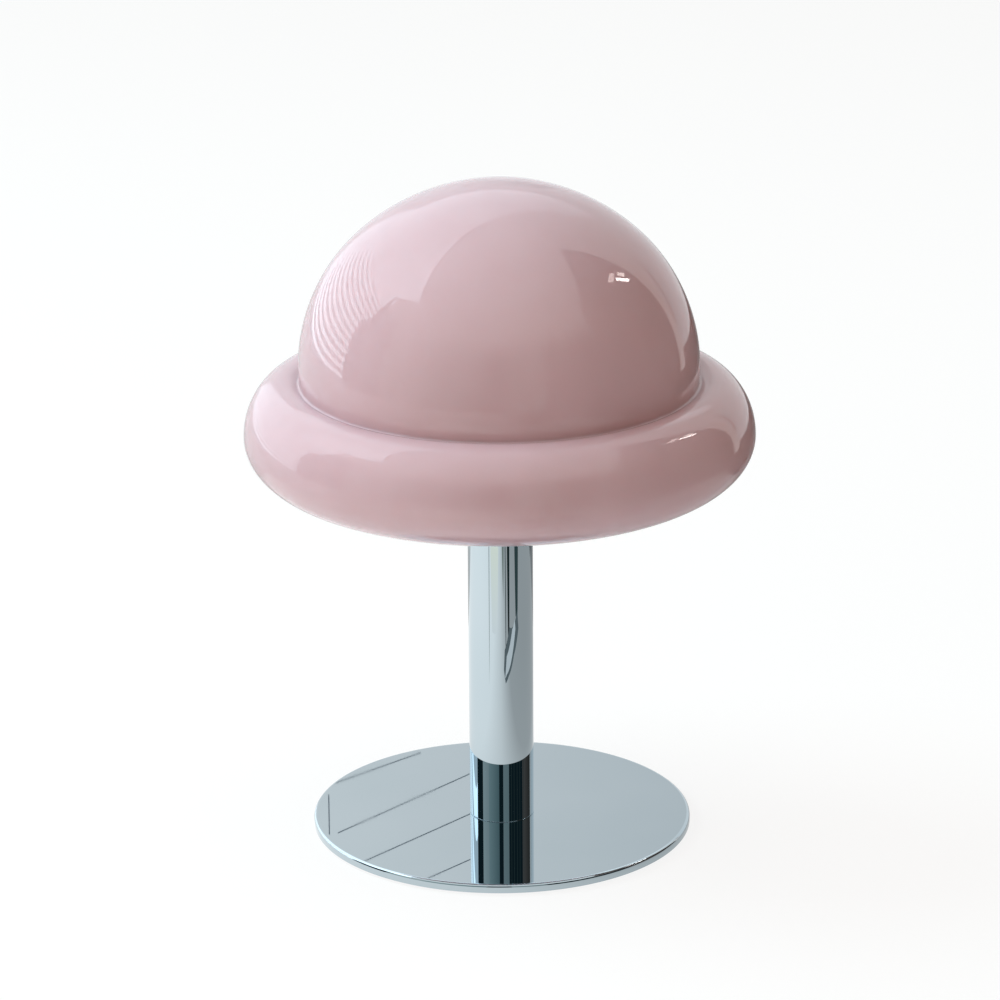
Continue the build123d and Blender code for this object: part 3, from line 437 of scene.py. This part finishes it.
# ---- the glass shade ---------------------------------------------------------------------------
def shade_skin():
    """The shade's outer face, from the top of the dome to the opening."""
    crown_z = SHADE_TOP - CROWN_ARC
    step = CROWN_ARC - SHOULDER_ARC
    shoulder_r = DOME_RADIUS - SHOULDER_ARC
    blend = math.degrees(math.acos(shoulder_r / step))
    shoulder_z = crown_z + step * math.sin(math.radians(blend))
    foot = math.degrees(math.asin((CREASE_Z + DOME_FOOT_RISE - shoulder_z) / SHOULDER_ARC))
    points = [(0.0, SHADE_TOP)]
    points += arc_points((0, crown_z), (CROWN_ARC,) * 2, 90, blend, CROWN_STEPS)[1:]
    points += arc_points((shoulder_r, shoulder_z), (SHOULDER_ARC,) * 2, blend, foot, SHOULDER_STEPS)[1:]
    crease_r = points[-1][0] + CREASE_NUDGE
    crease = (crease_r, CREASE_Z - CREASE_NUDGE)
    slope = (crease_r + CREASE_RUN, CREASE_Z + CREASE_RISE)
    points += rounded(crease, points[-1], slope, CREASE_ROUND, CREASE_STEPS)
    start_r, start_z = points[-1]
    for step in range(1, SADDLE_STEPS):
        share = step / SADDLE_STEPS
        rise = (BRIM_TOP_Z - start_z) * (1 - (1 - share) ** 2)
        points.append((start_r + (BRIM_TOP_R - start_r) * share, start_z + rise))
    upper = (BRIM_RADIUS - BRIM_TOP_R, BRIM_TOP_Z - BRIM_EQUATOR_Z)
    lower = (BRIM_RADIUS - BRIM_BOTTOM_R, BRIM_EQUATOR_Z - BRIM_BOTTOM_Z)
    points += arc_points((BRIM_TOP_R, BRIM_EQUATOR_Z), upper, 90, 0, BRIM_TOP_STEPS)
    points += arc_points((BRIM_BOTTOM_R, BRIM_EQUATOR_Z), lower, 0, -90, BRIM_BOTTOM_STEPS)[1:]
    for step in range(1, UNDERSIDE_STEPS + 1):
        share = step / UNDERSIDE_STEPS
        ease = share * share * (3 - 2 * share)
        r = BRIM_BOTTOM_R + (SEAT_R - BRIM_BOTTOM_R) * share
        points.append((r, BRIM_BOTTOM_Z + (SEAT_Z - BRIM_BOTTOM_Z) * ease))
    return points + line_points(points[-1], (OPENING_RADIUS + OPENING_ROUND, SEAT_Z), SEAT_STEPS)


def blown(angle, radius, height):
    """How far the blown glass strays from a true round. It dies out at the ground seat."""
    free = min(max((radius - SEAT_R) / BLOWN_SEAT_FADE, 0), 1) if height < BRIM_EQUATOR_Z else 1
    sway = sum(swing * math.sin(lobes * angle + phase + height / rise)
               for swing, lobes, phase, rise in BLOWN_WAVES)
    pole = min(radius / BLOWN_POLE_FADE, 1)
    return free * pole * pole * (3 - 2 * pole) * (sway - BLOWN_INSET)


def make_shade():
    """The dome and the brim in one blown skin, with its inner face in white glass."""
    outer = shade_skin()
    inner = offset(outer, -GLASS_WALL)
    mouth = OPENING_RADIUS + OPENING_ROUND
    inner[0] = (0.0, SHADE_TOP - GLASS_WALL)
    inner[-1] = (mouth, SEAT_Z + GLASS_WALL)
    middle = (mouth, SEAT_Z + GLASS_WALL / 2)
    rim = arc_points(middle, (OPENING_ROUND, GLASS_WALL / 2), 270, 90, RIM_STEPS)
    outline = outer + rim[1:-1] + inner[::-1]
    shade = lathe("glass_shade_blown", outline, SHADE_TURNS, blown, SHADE_CREASE)
    finish(shade, "opal_glass", "shade", "glass_dome", "glass_brim")
    shade.data.materials.append(white_glass())
    outer_rows = len(outer) + len(rim) // 2
    for polygon in shade.data.polygons:
        if polygon.index >= SHADE_TURNS * outer_rows:
            polygon.material_index = 1


# ---- chromed column and foot --------------------------------------------------------------------
def make_column():
    """The tube, with the hole for the cord's bush at the back."""
    bottom, top = tube_low.z, tube_high.z
    inner = TUBE_RADIUS - TUBE_WALL
    below, above = GLAND_Z - GLAND_HOLE_RING, GLAND_Z + GLAND_HOLE_RING
    corners = [
        (TUBE_RADIUS, bottom, TUBE_ROUND),
        (TUBE_RADIUS, below, 0),
        (TUBE_RADIUS, above, 0),
        (TUBE_RADIUS, top, TUBE_ROUND),
        (inner, top, BORE_ROUND),
        (inner, above, 0),
        (inner, below, 0),
        (inner, bottom, BORE_ROUND),
    ]
    tube = lathe("column_tube_polished", polygon_outline(corners), TUBE_TURNS)
    plug = [(0, 0), (GLAND_HOLE_RADIUS, 0), (GLAND_HOLE_RADIUS, GLAND_CUT), (0, GLAND_CUT)]
    hole = lathe("cord_hole", plug, GLAND_TURNS)
    hole.location = (0, (TUBE_RADIUS - GLAND_CUT / 2) * MM, GLAND_Z * MM)
    hole.rotation_euler = (-math.pi / 2, 0, 0)
    cut(tube, hole)
    finish(tube, "chrome", "stand", "column_tube")


def make_foot():
    """The disc, with the countersunk holes of its screws underneath."""
    bottom, top = disc_low.z, disc_high.z
    corners = [
        (DISC_RADIUS, bottom, DISC_ROUND_LOW),
        (DISC_RADIUS, top, DISC_ROUND_HIGH),
        (FOOT_HOLE_RING, top, 0),
        (0, top, 0),
        (0, bottom, 0),
        (FOOT_HOLE_RING, bottom, 0),
    ]
    outline = polygon_outline(corners)
    last = len(outline) - 1 - [r for r, z in outline][::-1].index(0)
    outline = outline[last:] + outline[:last]
    disc = lathe("foot_disc_polished", outline, DISC_TURNS)
    low, high = bottom - CUT_BELOW, top + CUT_ABOVE
    head, shank = FOOT_SCREW_HEAD, FOOT_SCREW_SHANK
    sink = [(0, low), (head + CUT_BELOW, low), (shank, bottom + head - shank), (shank, high), (0, high)]
    for index in range(FOOT_SCREWS):
        angle = 2 * math.pi * index / FOOT_SCREWS
        hole = lathe(f"screw_hole_{index}", sink, FOOT_HOLE_TURNS)
        hole.location = Vector((math.cos(angle), math.sin(angle), 0)) * FOOT_SCREW_CIRCLE * MM
        cut(disc, hole)
    finish(disc, "chrome", "stand", "foot_disc")


# ---- screw threads of the bulb and its holder ---------------------------------------------------
def threaded(name, outline, low, high, depth):
    """A lathed sheet-metal wall with a rolled right-handed thread between two heights."""

    def thread(angle, radius, height):
        start = min(max((height - low) / THREAD_PITCH, 0), 1)
        end = min(max((high - height) / THREAD_PITCH, 0), 1)
        wave = 0.5 + 0.5 * math.cos(2 * math.pi * height / THREAD_PITCH - angle)
        return depth * start * end * wave

    return lathe(name, outline, THREAD_TURNS, thread, THREAD_CREASE)


def make_threads():
    """The bulb's cap and the holder's shell, with real threads in place of the CAD's rings."""
    foot, shoulder, rim = (CAP_FOOT_R, CAP_FOOT_Z), (CAP_ROOT, CAP_THREAD_Z), (CAP_ROOT, CAP_TOP_Z)
    outer = [foot] + line_points(foot, shoulder, CAP_FOOT_ROWS) + line_points(shoulder, rim, CAP_ROWS)
    inner = [(r - CAP_WALL, z) for r, z in reversed(outer)]
    high = CAP_TOP_Z - CAP_PLAIN_TOP
    cap = threaded("bulb_cap_threaded", outer + inner, CAP_THREAD_Z, high, CAP_THREAD)
    finish(cap, "nickel", "bulb_base", "bulb_cap")
    skin = SHELL_BORE + SHELL_WALL
    corner, rim = (skin, SHELL_FLOOR_Z), (skin, SHELL_TOP_Z)
    outer = [(SHELL_MOUTH, SHELL_FLOOR_Z), corner] + line_points(corner, rim, SHELL_ROWS)
    top, bottom = (SHELL_BORE, SHELL_TOP_Z), (SHELL_BORE, SHELL_FLOOR_Z + SHELL_WALL)
    inner = [top] + line_points(top, bottom, SHELL_ROWS) + [(SHELL_MOUTH, bottom[1])]
    low, high = SHELL_FLOOR_Z + SHELL_PLAIN_FOOT, SHELL_TOP_Z - SHELL_PLAIN_TOP
    shell = threaded("holder_shell_threaded", outer + inner, low, high, SHELL_THREAD)
    finish(shell, "nickel", "stand", "holder_shell")


# ---- floor and world: sizes from here on are in metres -------------------------------------------
FLOOR_REACH, FLOOR_SIDES = 6.0, 96
FLOOR_GREY, FLOOR_GLOW = 0.85, 0.86
WORLD_TINT, WORLD_STRENGTH = (1.0, 0.8, 0.56, 1), 0.26
BACKGROUND = (1, 1, 1, 1)


def seen_directly(tree):
    """1 for what the camera, a mirror or clear glass sees, and 0 for what only lights."""
    rays = tree.nodes.new("ShaderNodeLightPath")
    both, seen = (tree.nodes.new("ShaderNodeMath") for count in range(2))
    both.operation = seen.operation = "ADD"
    seen.use_clamp = True
    tree.links.new(rays.outputs["Is Camera Ray"], both.inputs[0])
    tree.links.new(rays.outputs["Is Glossy Ray"], both.inputs[1])
    tree.links.new(both.outputs[0], seen.inputs[0])
    tree.links.new(rays.outputs["Is Transmission Ray"], seen.inputs[1])
    return seen.outputs[0]


def floor_material():
    """A finish that the camera and the mirrors see as near white, and that still takes the
    object's shadow."""
    material = bpy.data.materials.new("floor_white")
    material.use_nodes = True
    tree = material.node_tree
    tree.nodes.clear()
    diffuse = tree.nodes.new("ShaderNodeBsdfDiffuse")
    diffuse.inputs["Color"].default_value = (FLOOR_GREY,) * 3 + (1,)
    shine = tree.nodes.new("ShaderNodeEmission")
    share = tree.nodes.new("ShaderNodeMath")
    share.operation = "MULTIPLY"
    share.inputs[1].default_value = FLOOR_GLOW
    blend = tree.nodes.new("ShaderNodeMixShader")
    out = tree.nodes.new("ShaderNodeOutputMaterial")
    tree.links.new(seen_directly(tree), share.inputs[0])
    tree.links.new(share.outputs[0], blend.inputs["Fac"])
    tree.links.new(diffuse.outputs[0], blend.inputs[1])
    tree.links.new(shine.outputs[0], blend.inputs[2])
    tree.links.new(blend.outputs[0], out.inputs["Surface"])
    return material


def make_floor():
    """The round pale floor."""
    mesh = bpy.data.meshes.new("floor")
    turns = [2 * math.pi * side / FLOOR_SIDES for side in range(FLOOR_SIDES)]
    ring = [(FLOOR_REACH * math.cos(turn), FLOOR_REACH * math.sin(turn), 0) for turn in turns]
    mesh.from_pydata(ring, [], [list(range(FLOOR_SIDES))])
    mesh.materials.append(floor_material())
    link("floor", mesh)


def make_world():
    """A white background that lights the lamp with a dim warm glow."""
    world = bpy.data.worlds.new("studio")
    bpy.context.scene.world = world
    world.use_nodes = True
    tree = world.node_tree
    base = tree.nodes["Background"]
    base.inputs["Color"].default_value = WORLD_TINT
    base.inputs["Strength"].default_value = WORLD_STRENGTH
    bright = tree.nodes.new("ShaderNodeBackground")
    bright.inputs["Color"].default_value = BACKGROUND
    bright.inputs["Strength"].default_value = 1.0
    blend = tree.nodes.new("ShaderNodeMixShader")
    tree.links.new(seen_directly(tree), blend.inputs["Fac"])
    tree.links.new(base.outputs[0], blend.inputs[1])
    tree.links.new(bright.outputs[0], blend.inputs[2])
    tree.links.new(blend.outputs[0], tree.nodes["World Output"].inputs["Surface"])


# ---- boards that reflections alone see ------------------------------------------------------------
SHADE_EYE = 0.28  # height from which the shade sees the studio


def glow_material():
    """A card's finish: it glows as its corners' colours say."""
    material = bpy.data.materials.new("card")
    material.use_nodes = True
    tree = material.node_tree
    tree.nodes.clear()
    shine = tree.nodes.new("ShaderNodeEmission")
    corners = tree.nodes.new("ShaderNodeAttribute")
    corners.attribute_name = "glow"
    out = tree.nodes.new("ShaderNodeOutputMaterial")
    tree.links.new(corners.outputs["Color"], shine.inputs["Color"])
    tree.links.new(shine.outputs[0], out.inputs["Surface"])
    return material


CARD_FINISH = glow_material()


def grey(level, warmth=0.0):
    """A light level, cooler below 0 and warmer above."""
    return (level * (1 + warmth), level, level * (1 - warmth))


def heading(azimuth):
    """The level direction at an azimuth in degrees: 0 is towards the camera, 90 is +X."""
    angle = math.radians(azimuth)
    return Vector((math.sin(angle), -math.cos(angle), 0))


def sky_point(azimuth, elevation, distance):
    """A point in a given direction from the shade."""
    tilt = math.radians(elevation)
    place = heading(azimuth) * math.cos(tilt) * distance
    place.z = SHADE_EYE + math.sin(tilt) * distance
    return place


def wall_point(bearing, distance, azimuth, height):
    """A point of the upright plane that faces the lamp from a bearing, in a given direction."""
    along = distance * math.tan(math.radians(azimuth - bearing))
    place = heading(bearing) * distance + heading(bearing + 90) * along
    place.z = height
    return place


def card(name, corners, glows, faces=None):
    """A board that reflections alone see. glows has a colour for each corner."""
    mesh = bpy.data.meshes.new(name)
    mesh.from_pydata([tuple(corner) for corner in corners], [], faces or [list(range(len(corners)))])
    colours = mesh.color_attributes.new("glow", "FLOAT_COLOR", "POINT")
    for entry, glow in zip(colours.data, glows):
        entry.color = (*glow, 1)
    mesh.materials.append(CARD_FINISH)
    board = link(name, mesh)
    board.visible_camera = False
    board.visible_diffuse = False
    board.visible_shadow = False
    board.visible_transmission = False
    board.visible_volume_scatter = False


def wall_card(name, wall, azimuths, heights, left, right):
    """An upright board on a wall (bearing, distance), between two azimuths and two heights. left
    and right are the colours of its sides, each one colour or those of its foot and its head."""
    corners, glows = [], []
    for azimuth, side in zip(azimuths, (left, right)):
        ends = side if isinstance(side[0], tuple) else (side, side)
        for height, glow in zip(heights, ends):
            corners.append(wall_point(*wall, azimuth, height))
            glows.append(glow)
    card(name, corners, glows, [[0, 1, 3, 2]])


def sky_card(name, distance, corners, glow):
    """A board whose corners lie in given directions (azimuth, elevation) from the shade."""
    card(name, [sky_point(*corner, distance) for corner in corners], [glow] * len(corners))


def floor_card(name, corners, glows, lift):
    """A board that lies on the floor, with corners (azimuth, reach)."""
    places = [heading(azimuth) * reach + Vector((0, 0, lift)) for azimuth, reach in corners]
    card(name, places, glows)


def striped_floor(name, spans, back, front, lift):
    """A level board whose glow changes along X, as spans of (x, level) say."""
    corners = [(x, y, lift) for x, level in spans for y in (back, front)]
    glows = [grey(level) for x, level in spans for side in range(2)]
    strips = [[i, i + 1, i + 3, i + 2] for i in range(0, 2 * len(spans) - 2, 2)]
    card(name, corners, glows, strips)


# ---- left and behind: window wall and blind ---------------------------------------------------------
WINDOW = (-133, 4.0)  # a wall is its bearing and its distance
WINDOW_AZIMUTHS = (-205, -133, -87)
WINDOW_HEAD, WINDOW_RETURN, WINDOW_RETURN_END = 9.66, 5.44, -71
RAIL_AZIMUTHS, RAIL_HEIGHT = (-178, -72), 0.34
CORNER_DISTANCE = 1.6
CORNER = [(-97, -9), (-97, 20), (-91, 24), (-87.5, 41), (-86, 41), (-86, -9)]
BLIND_BEARING, BLIND_DISTANCE, SLAT_GAP = -105, 1.7, 0.01
BLIND_AZIMUTHS, SLAT_AZIMUTHS = (-168, -88), (-168, -89)
BLIND_HEAD, SLATS, SLAT_FOOT, SLAT_PITCH, SLAT_HEIGHT = 1.36, 13, 0.08, 0.1, 0.05
ROOM_DARK = (0.012, 0.026, 0.032)


def make_window_side():
    """The bright wall on the left and behind, with the slatted blind in front of its foot."""
    near, middle, far = grey(3.1, -0.1), grey(1.9, -0.06), grey(1.2, -0.04)
    back, turn, front = WINDOW_AZIMUTHS
    wall_card("wall_near", WINDOW, (turn, front), (0.0, WINDOW_HEAD), middle, near)
    wall_card("wall_far", WINDOW, (back, turn), (0.0, WINDOW_HEAD), far, middle)
    rail = grey(0.05)
    wall_card("wall_rail", WINDOW, RAIL_AZIMUTHS, (WINDOW_HEAD, WINDOW_HEAD + RAIL_HEIGHT), rail, rail)
    spots = ((front, WINDOW_HEAD), (front, WINDOW_RETURN), (WINDOW_RETURN_END, WINDOW_HEAD))
    card("wall_return", [wall_point(*WINDOW, *spot) for spot in spots], [near] * len(spots))
    sky_card("window_corner", CORNER_DISTANCE, CORNER, ROOM_DARK)
    blind = (BLIND_BEARING, BLIND_DISTANCE)
    left, right = grey(0.9, -0.04), (grey(0.9, -0.08), grey(1.3, -0.08))
    wall_card("blind_ground", blind, BLIND_AZIMUTHS, (0.0, BLIND_HEAD), left, right)
    left, right = grey(2.0, -0.04), grey(3.0, -0.1)
    slat_wall = (BLIND_BEARING, BLIND_DISTANCE - SLAT_GAP)
    for index in range(SLATS):
        foot = SLAT_FOOT + index * SLAT_PITCH
        heights = (foot, foot + SLAT_HEIGHT)
        wall_card(f"blind_slat_{index}", slat_wall, SLAT_AZIMUTHS, heights, left, right)


# ---- behind and on the right: sweep and doorway ----------------------------------------------------
SWEEP_BEARING, SWEEP_DISTANCE = 180, 1.5
SWEEP_AZIMUTHS, SWEEP_HEAD = (128, 200), 1.05
CENTRE_AZIMUTHS, CENTRE_HEIGHTS, CENTRE_GAP = (172, 188), (0.5, 0.8), 0.002
SEAM_WIDTH, SEAM_GAP = 0.0009, 0.005
SEAM_FEET, SEAM_SLOPE = (0.594, 0.63, 0.671), 0.475  # parallel seams, which rise to the left
SEAM_X = (-0.137, -0.024)
SHORT_SEAM_X, SHORT_SEAM_Z = (-0.142, -0.067), (0.604, 0.576)
UPRIGHT_SEAM_X, UPRIGHT_SEAM_Z = -0.144, (0.613, 0.649)
DOORWAY, DOORWAY_AZIMUTHS, DOORWAY_HEAD = (127, 1.3), (64, 121.5), 2.7
DOOR_FRAME_AZIMUTHS, DOOR_FRAME_HEAD = (121.5, 128), 1.3
DOOR_EDGE_DISTANCE = 1.25
DOOR_EDGE = [(126.9, 0.5), (128.3, 0.5), (134.9, 22.5), (134.4, 22.5)]
FAR_WINDOW_DISTANCE = 1.2
FAR_WINDOWS = [  # azimuth and elevation of the upper left corner, width, drop, lean to the right, glow
    ("side", 101.1, 39.9, 8.5, 2.7, 3.1, (5, 4.2, 4)),
    ("high", 112, 35.8, 2.8, 3.8, 2.7, (7, 6, 5.6)),
    ("low", 106.9, 36.3, 2.6, 6.8, 6.4, (16, 14.5, 14)),
]


def seam_ends():
    """Both ends, as x and z, of each thin line on the sweep that the foot mirrors."""
    ends = [tuple(zip(SHORT_SEAM_X, SHORT_SEAM_Z))]
    left, right = SEAM_X
    for foot in SEAM_FEET:
        ends.append(((left, foot + (right - left) * SEAM_SLOPE), (right, foot)))
    low, high = UPRIGHT_SEAM_Z
    return ends + [((UPRIGHT_SEAM_X, low), (UPRIGHT_SEAM_X, high))]


def make_back_and_right():
    """The grey sweep behind, with its seams, and the dark doorway on the right."""
    sweep = (SWEEP_BEARING, SWEEP_DISTANCE)
    left, right = grey(0.95, -0.04), grey(0.98, -0.02)
    wall_card("sweep_behind", sweep, SWEEP_AZIMUTHS, (0.0, SWEEP_HEAD), left, right)
    centre = (SWEEP_BEARING, SWEEP_DISTANCE - CENTRE_GAP)
    left, right = grey(0.76, -0.03), grey(0.99, -0.01)
    wall_card("sweep_centre", centre, CENTRE_AZIMUTHS, CENTRE_HEIGHTS, left, right)
    for index, (start, end) in enumerate(seam_ends()):
        start, end = Vector(start), Vector(end)
        across = (end - start).orthogonal().normalized() * SEAM_WIDTH / 2
        outline = (start + across, end + across, end - across, start - across)
        places = [(x, SWEEP_DISTANCE - SEAM_GAP, z) for x, z in outline]
        card(f"seam_{index}", places, [grey(0.16, -0.2)] * len(places))
    dusk, dark = (0.3, 0.24, 0.22), (0.05, 0.045, 0.04)
    wall_card("doorway", DOORWAY, DOORWAY_AZIMUTHS, (0.0, DOORWAY_HEAD), dusk, dark)
    frame_light = (1.0, 0.94, 0.92)
    heights = (0.0, DOOR_FRAME_HEAD)
    wall_card("door_frame", DOORWAY, DOOR_FRAME_AZIMUTHS, heights, frame_light, frame_light)
    sky_card("door_edge", DOOR_EDGE_DISTANCE, DOOR_EDGE, (0.2, 0.11, 0.08))
    for name, azimuth, high, width, drop, lean, glow in FAR_WINDOWS:
        low, shifted = high - drop, azimuth + lean
        corners = [(azimuth + width, high), (shifted + width, low), (shifted, low), (azimuth, high)]
        sky_card(f"far_window_{name}", FAR_WINDOW_DISTANCE, corners, glow)


# ---- in front: room and table ---------------------------------------------------------------------
ROOM_BANDS = [  # from azimuth, to azimuth, colour at either side
    (-88, -71, ROOM_DARK, ROOM_DARK),
    (-71, -47, (0.62, 0.68, 0.67), (0.5, 0.56, 0.56)),
    (-47, -9, (0.4, 0.5, 0.5), (0.18, 0.26, 0.27)),
    (-9, 5.5, ROOM_DARK, ROOM_DARK),
    (5.5, 26, (0.36, 0.42, 0.42), (0.32, 0.38, 0.38)),
    (26, 64, ROOM_DARK, ROOM_DARK),
    (64, 96, ROOM_DARK, ROOM_DARK),
]
ROOM_DISTANCE = 1.9
ROOM_HEAD, CEILING = 1.15, 1.7
ROOM_LINES, ROOM_LINE_DISTANCE, ROOM_LINE_WIDTH = (34, 44, 56, 67, 84), 1.26, 2
TABLE_BACK, TABLE_FRONT = 0.275, -0.9
TABLE_SPANS = [  # x and the light level there; the drop to the right of x = 0 is painted shade of the lamp, lit from the left
    (-0.507, 1.35),
    (-0.12, 1.2),
    (0.0, 0.95),
    (0.12, 0.55),
    (0.3, 0.5),
    (0.73, 0.55),
]
GROUND_SPANS = [(-5, 0.9), (-0.5, 0.9), (0.2, 0.3), (0.5, 0.05), (5, 0.04)]
GROUND_REACH = 5
GROUND_LIFT, TABLE_LIFT, CLOTH_LIFT, STREAK_LIFT, STREAK_GAP = 0.0002, 0.0004, 0.0005, 0.0006, 0.0001
CLOTH = [(-36, 0.5), (-6, 0.5), (-12, 0.3), (-30, 0.3)]  # corners (azimuth, reach)
CLOTH_FAR, CLOTH_NEAR = (1.25, 1.22, 1.0), (1.1, 1.1, 1.1)
STREAKS = [  # things on the table: corners (azimuth, reach), colour
    ([(-41.5, 0.5), (-39, 0.5), (-39.5, 0.3), (-41, 0.215)], (0.32, 0.36, 0.34)),
    ([(3, 0.5), (13, 0.5), (9, 0.35)], (0.3, 0.33, 0.3)),
    ([(22, 0.56), (32, 0.56), (29.5, 0.27), (26, 0.26)], (0.02, 0.03, 0.03)),
    ([(14.5, 0.56), (17.5, 0.56), (18.5, 0.25), (17, 0.24)], (0.06, 0.08, 0.08)),
    ([(48, 0.56), (66, 0.56), (61, 0.32), (53, 0.32)], (0.05, 0.08, 0.08)),
    (
        [
            (10, 0.24), (16, 0.219), (27, 0.23), (46, 0.26),
            (64, 0.3), (60, 0.33), (30, 0.305), (13, 0.27),
        ],
        (0.16, 0.19, 0.2),
    ),
    ([(14, 0.226), (20, 0.232), (52, 0.3), (50, 0.315), (40, 0.3), (20, 0.26)], (0.8, 0.82, 0.84)),
    ([(112, 0.6), (142, 0.6), (128, 0.4)], (0.01, 0.01, 0.01)),
]


def make_room():
    """The dim room behind the camera, in upright bands that fade into the ceiling."""
    ceiling = grey(1.0)
    doorway_start = DOORWAY_AZIMUTHS[0]
    for start, stop, left, right in ROOM_BANDS:
        band = ((start + stop) / 2, ROOM_DISTANCE)
        wall_card(f"room_{start}", band, (start, stop), (0.0, ROOM_HEAD), left, right)
        if start < doorway_start:
            sides = (left, ceiling), (right, ceiling)
            wall_card(f"room_top_{start}", band, (start, stop), (ROOM_HEAD, CEILING), *sides)
    line = (0.05, 0.07, 0.065)
    for azimuth in ROOM_LINES:
        azimuths = (azimuth, azimuth + ROOM_LINE_WIDTH)
        wall = (azimuth, ROOM_LINE_DISTANCE)
        wall_card(f"room_line_{azimuth}", wall, azimuths, (0.0, ROOM_HEAD), line, line)


def make_table():
    """The table top, the things on it and the dark ground past its edge, as mirrors see them."""
    striped_floor("ground", GROUND_SPANS, GROUND_REACH, -GROUND_REACH, GROUND_LIFT)
    # the table board carries painted shade: darker right of the lamp, as mirrors see it
    striped_floor("table", TABLE_SPANS, TABLE_BACK, TABLE_FRONT, TABLE_LIFT)
    floor_card("cloth", CLOTH, [CLOTH_FAR] * 2 + [CLOTH_NEAR] * 2, CLOTH_LIFT)
    for index, (outline, colour) in enumerate(STREAKS):
        lift = STREAK_LIFT + index * STREAK_GAP
        floor_card(f"streak_{index}", outline, [colour] * len(outline), lift)


# ---- lamps ------------------------------------------------------------------------------------------
LAMP_DISTANCE = 2.4
LAMP_AIM = Vector((0, 0, 0.2))
LAMPS = [  # name, azimuth, elevation, size, power in watts, colour
    ("key_left", -105, 45, 1.6, 65, (0.72, 0.97, 1.06)),
    ("front_left", -40, 12, 1.6, 26, (1.04, 0.95, 0.86)),
    ("fill_right", 80, 12, 1.6, 8, (1.0, 0.62, 0.5)),
    ("top", 0, 90, 1.8, 26, (0.95, 1.0, 1.01)),
]


def make_lights():
    """Soft square lamps that reflections don't see."""
    for name, azimuth, elevation, size, power, colour in LAMPS:
        data = bpy.data.lights.new(name, "AREA")
        data.shape = "SQUARE"
        data.size = size
        data.energy = power
        data.color = colour
        lamp = bpy.data.objects.new(name, data)
        bpy.context.scene.collection.objects.link(lamp)
        lamp.location = sky_point(azimuth, elevation, LAMP_DISTANCE)
        lamp.rotation_euler = (LAMP_AIM - lamp.location).to_track_quat("-Z", "Y").to_euler()
        lamp.visible_glossy = False


# ---- camera -----------------------------------------------------------------------------------------
CAMERA_DISTANCE = 2.384
CAMERA_PITCH = 18.96
CAMERA_TARGET_Z = 0.1698
CAMERA_ROLL = -0.35
FOCAL_LENGTH, SENSOR_WIDTH = 175.2, 36.0  # in millimetres
CAMERA_REACH = 50


def make_camera():
    """The camera at the photograph's viewing angle."""
    data = bpy.data.cameras.new("camera")
    data.lens = FOCAL_LENGTH
    data.sensor_width = SENSOR_WIDTH
    data.clip_end = CAMERA_REACH
    camera = bpy.data.objects.new("camera", data)
    bpy.context.scene.collection.objects.link(camera)
    target = Vector((0, 0, CAMERA_TARGET_Z))
    pitch = math.radians(CAMERA_PITCH)
    camera.location = target + Vector((0, -math.cos(pitch), math.sin(pitch))) * CAMERA_DISTANCE
    camera.rotation_mode = "QUATERNION"
    aim = (target - camera.location).to_track_quat("-Z", "Y")
    camera.rotation_quaternion = aim @ Quaternion((0, 0, 1), math.radians(CAMERA_ROLL))
    bpy.context.scene.camera = camera


dress_nodes()
make_shade()
make_column()
make_foot()
make_threads()
make_floor()
make_world()
make_window_side()
make_back_and_right()
make_room()
make_table()
make_lights()
make_camera()
bpy.context.scene.view_settings.view_transform = "Standard"
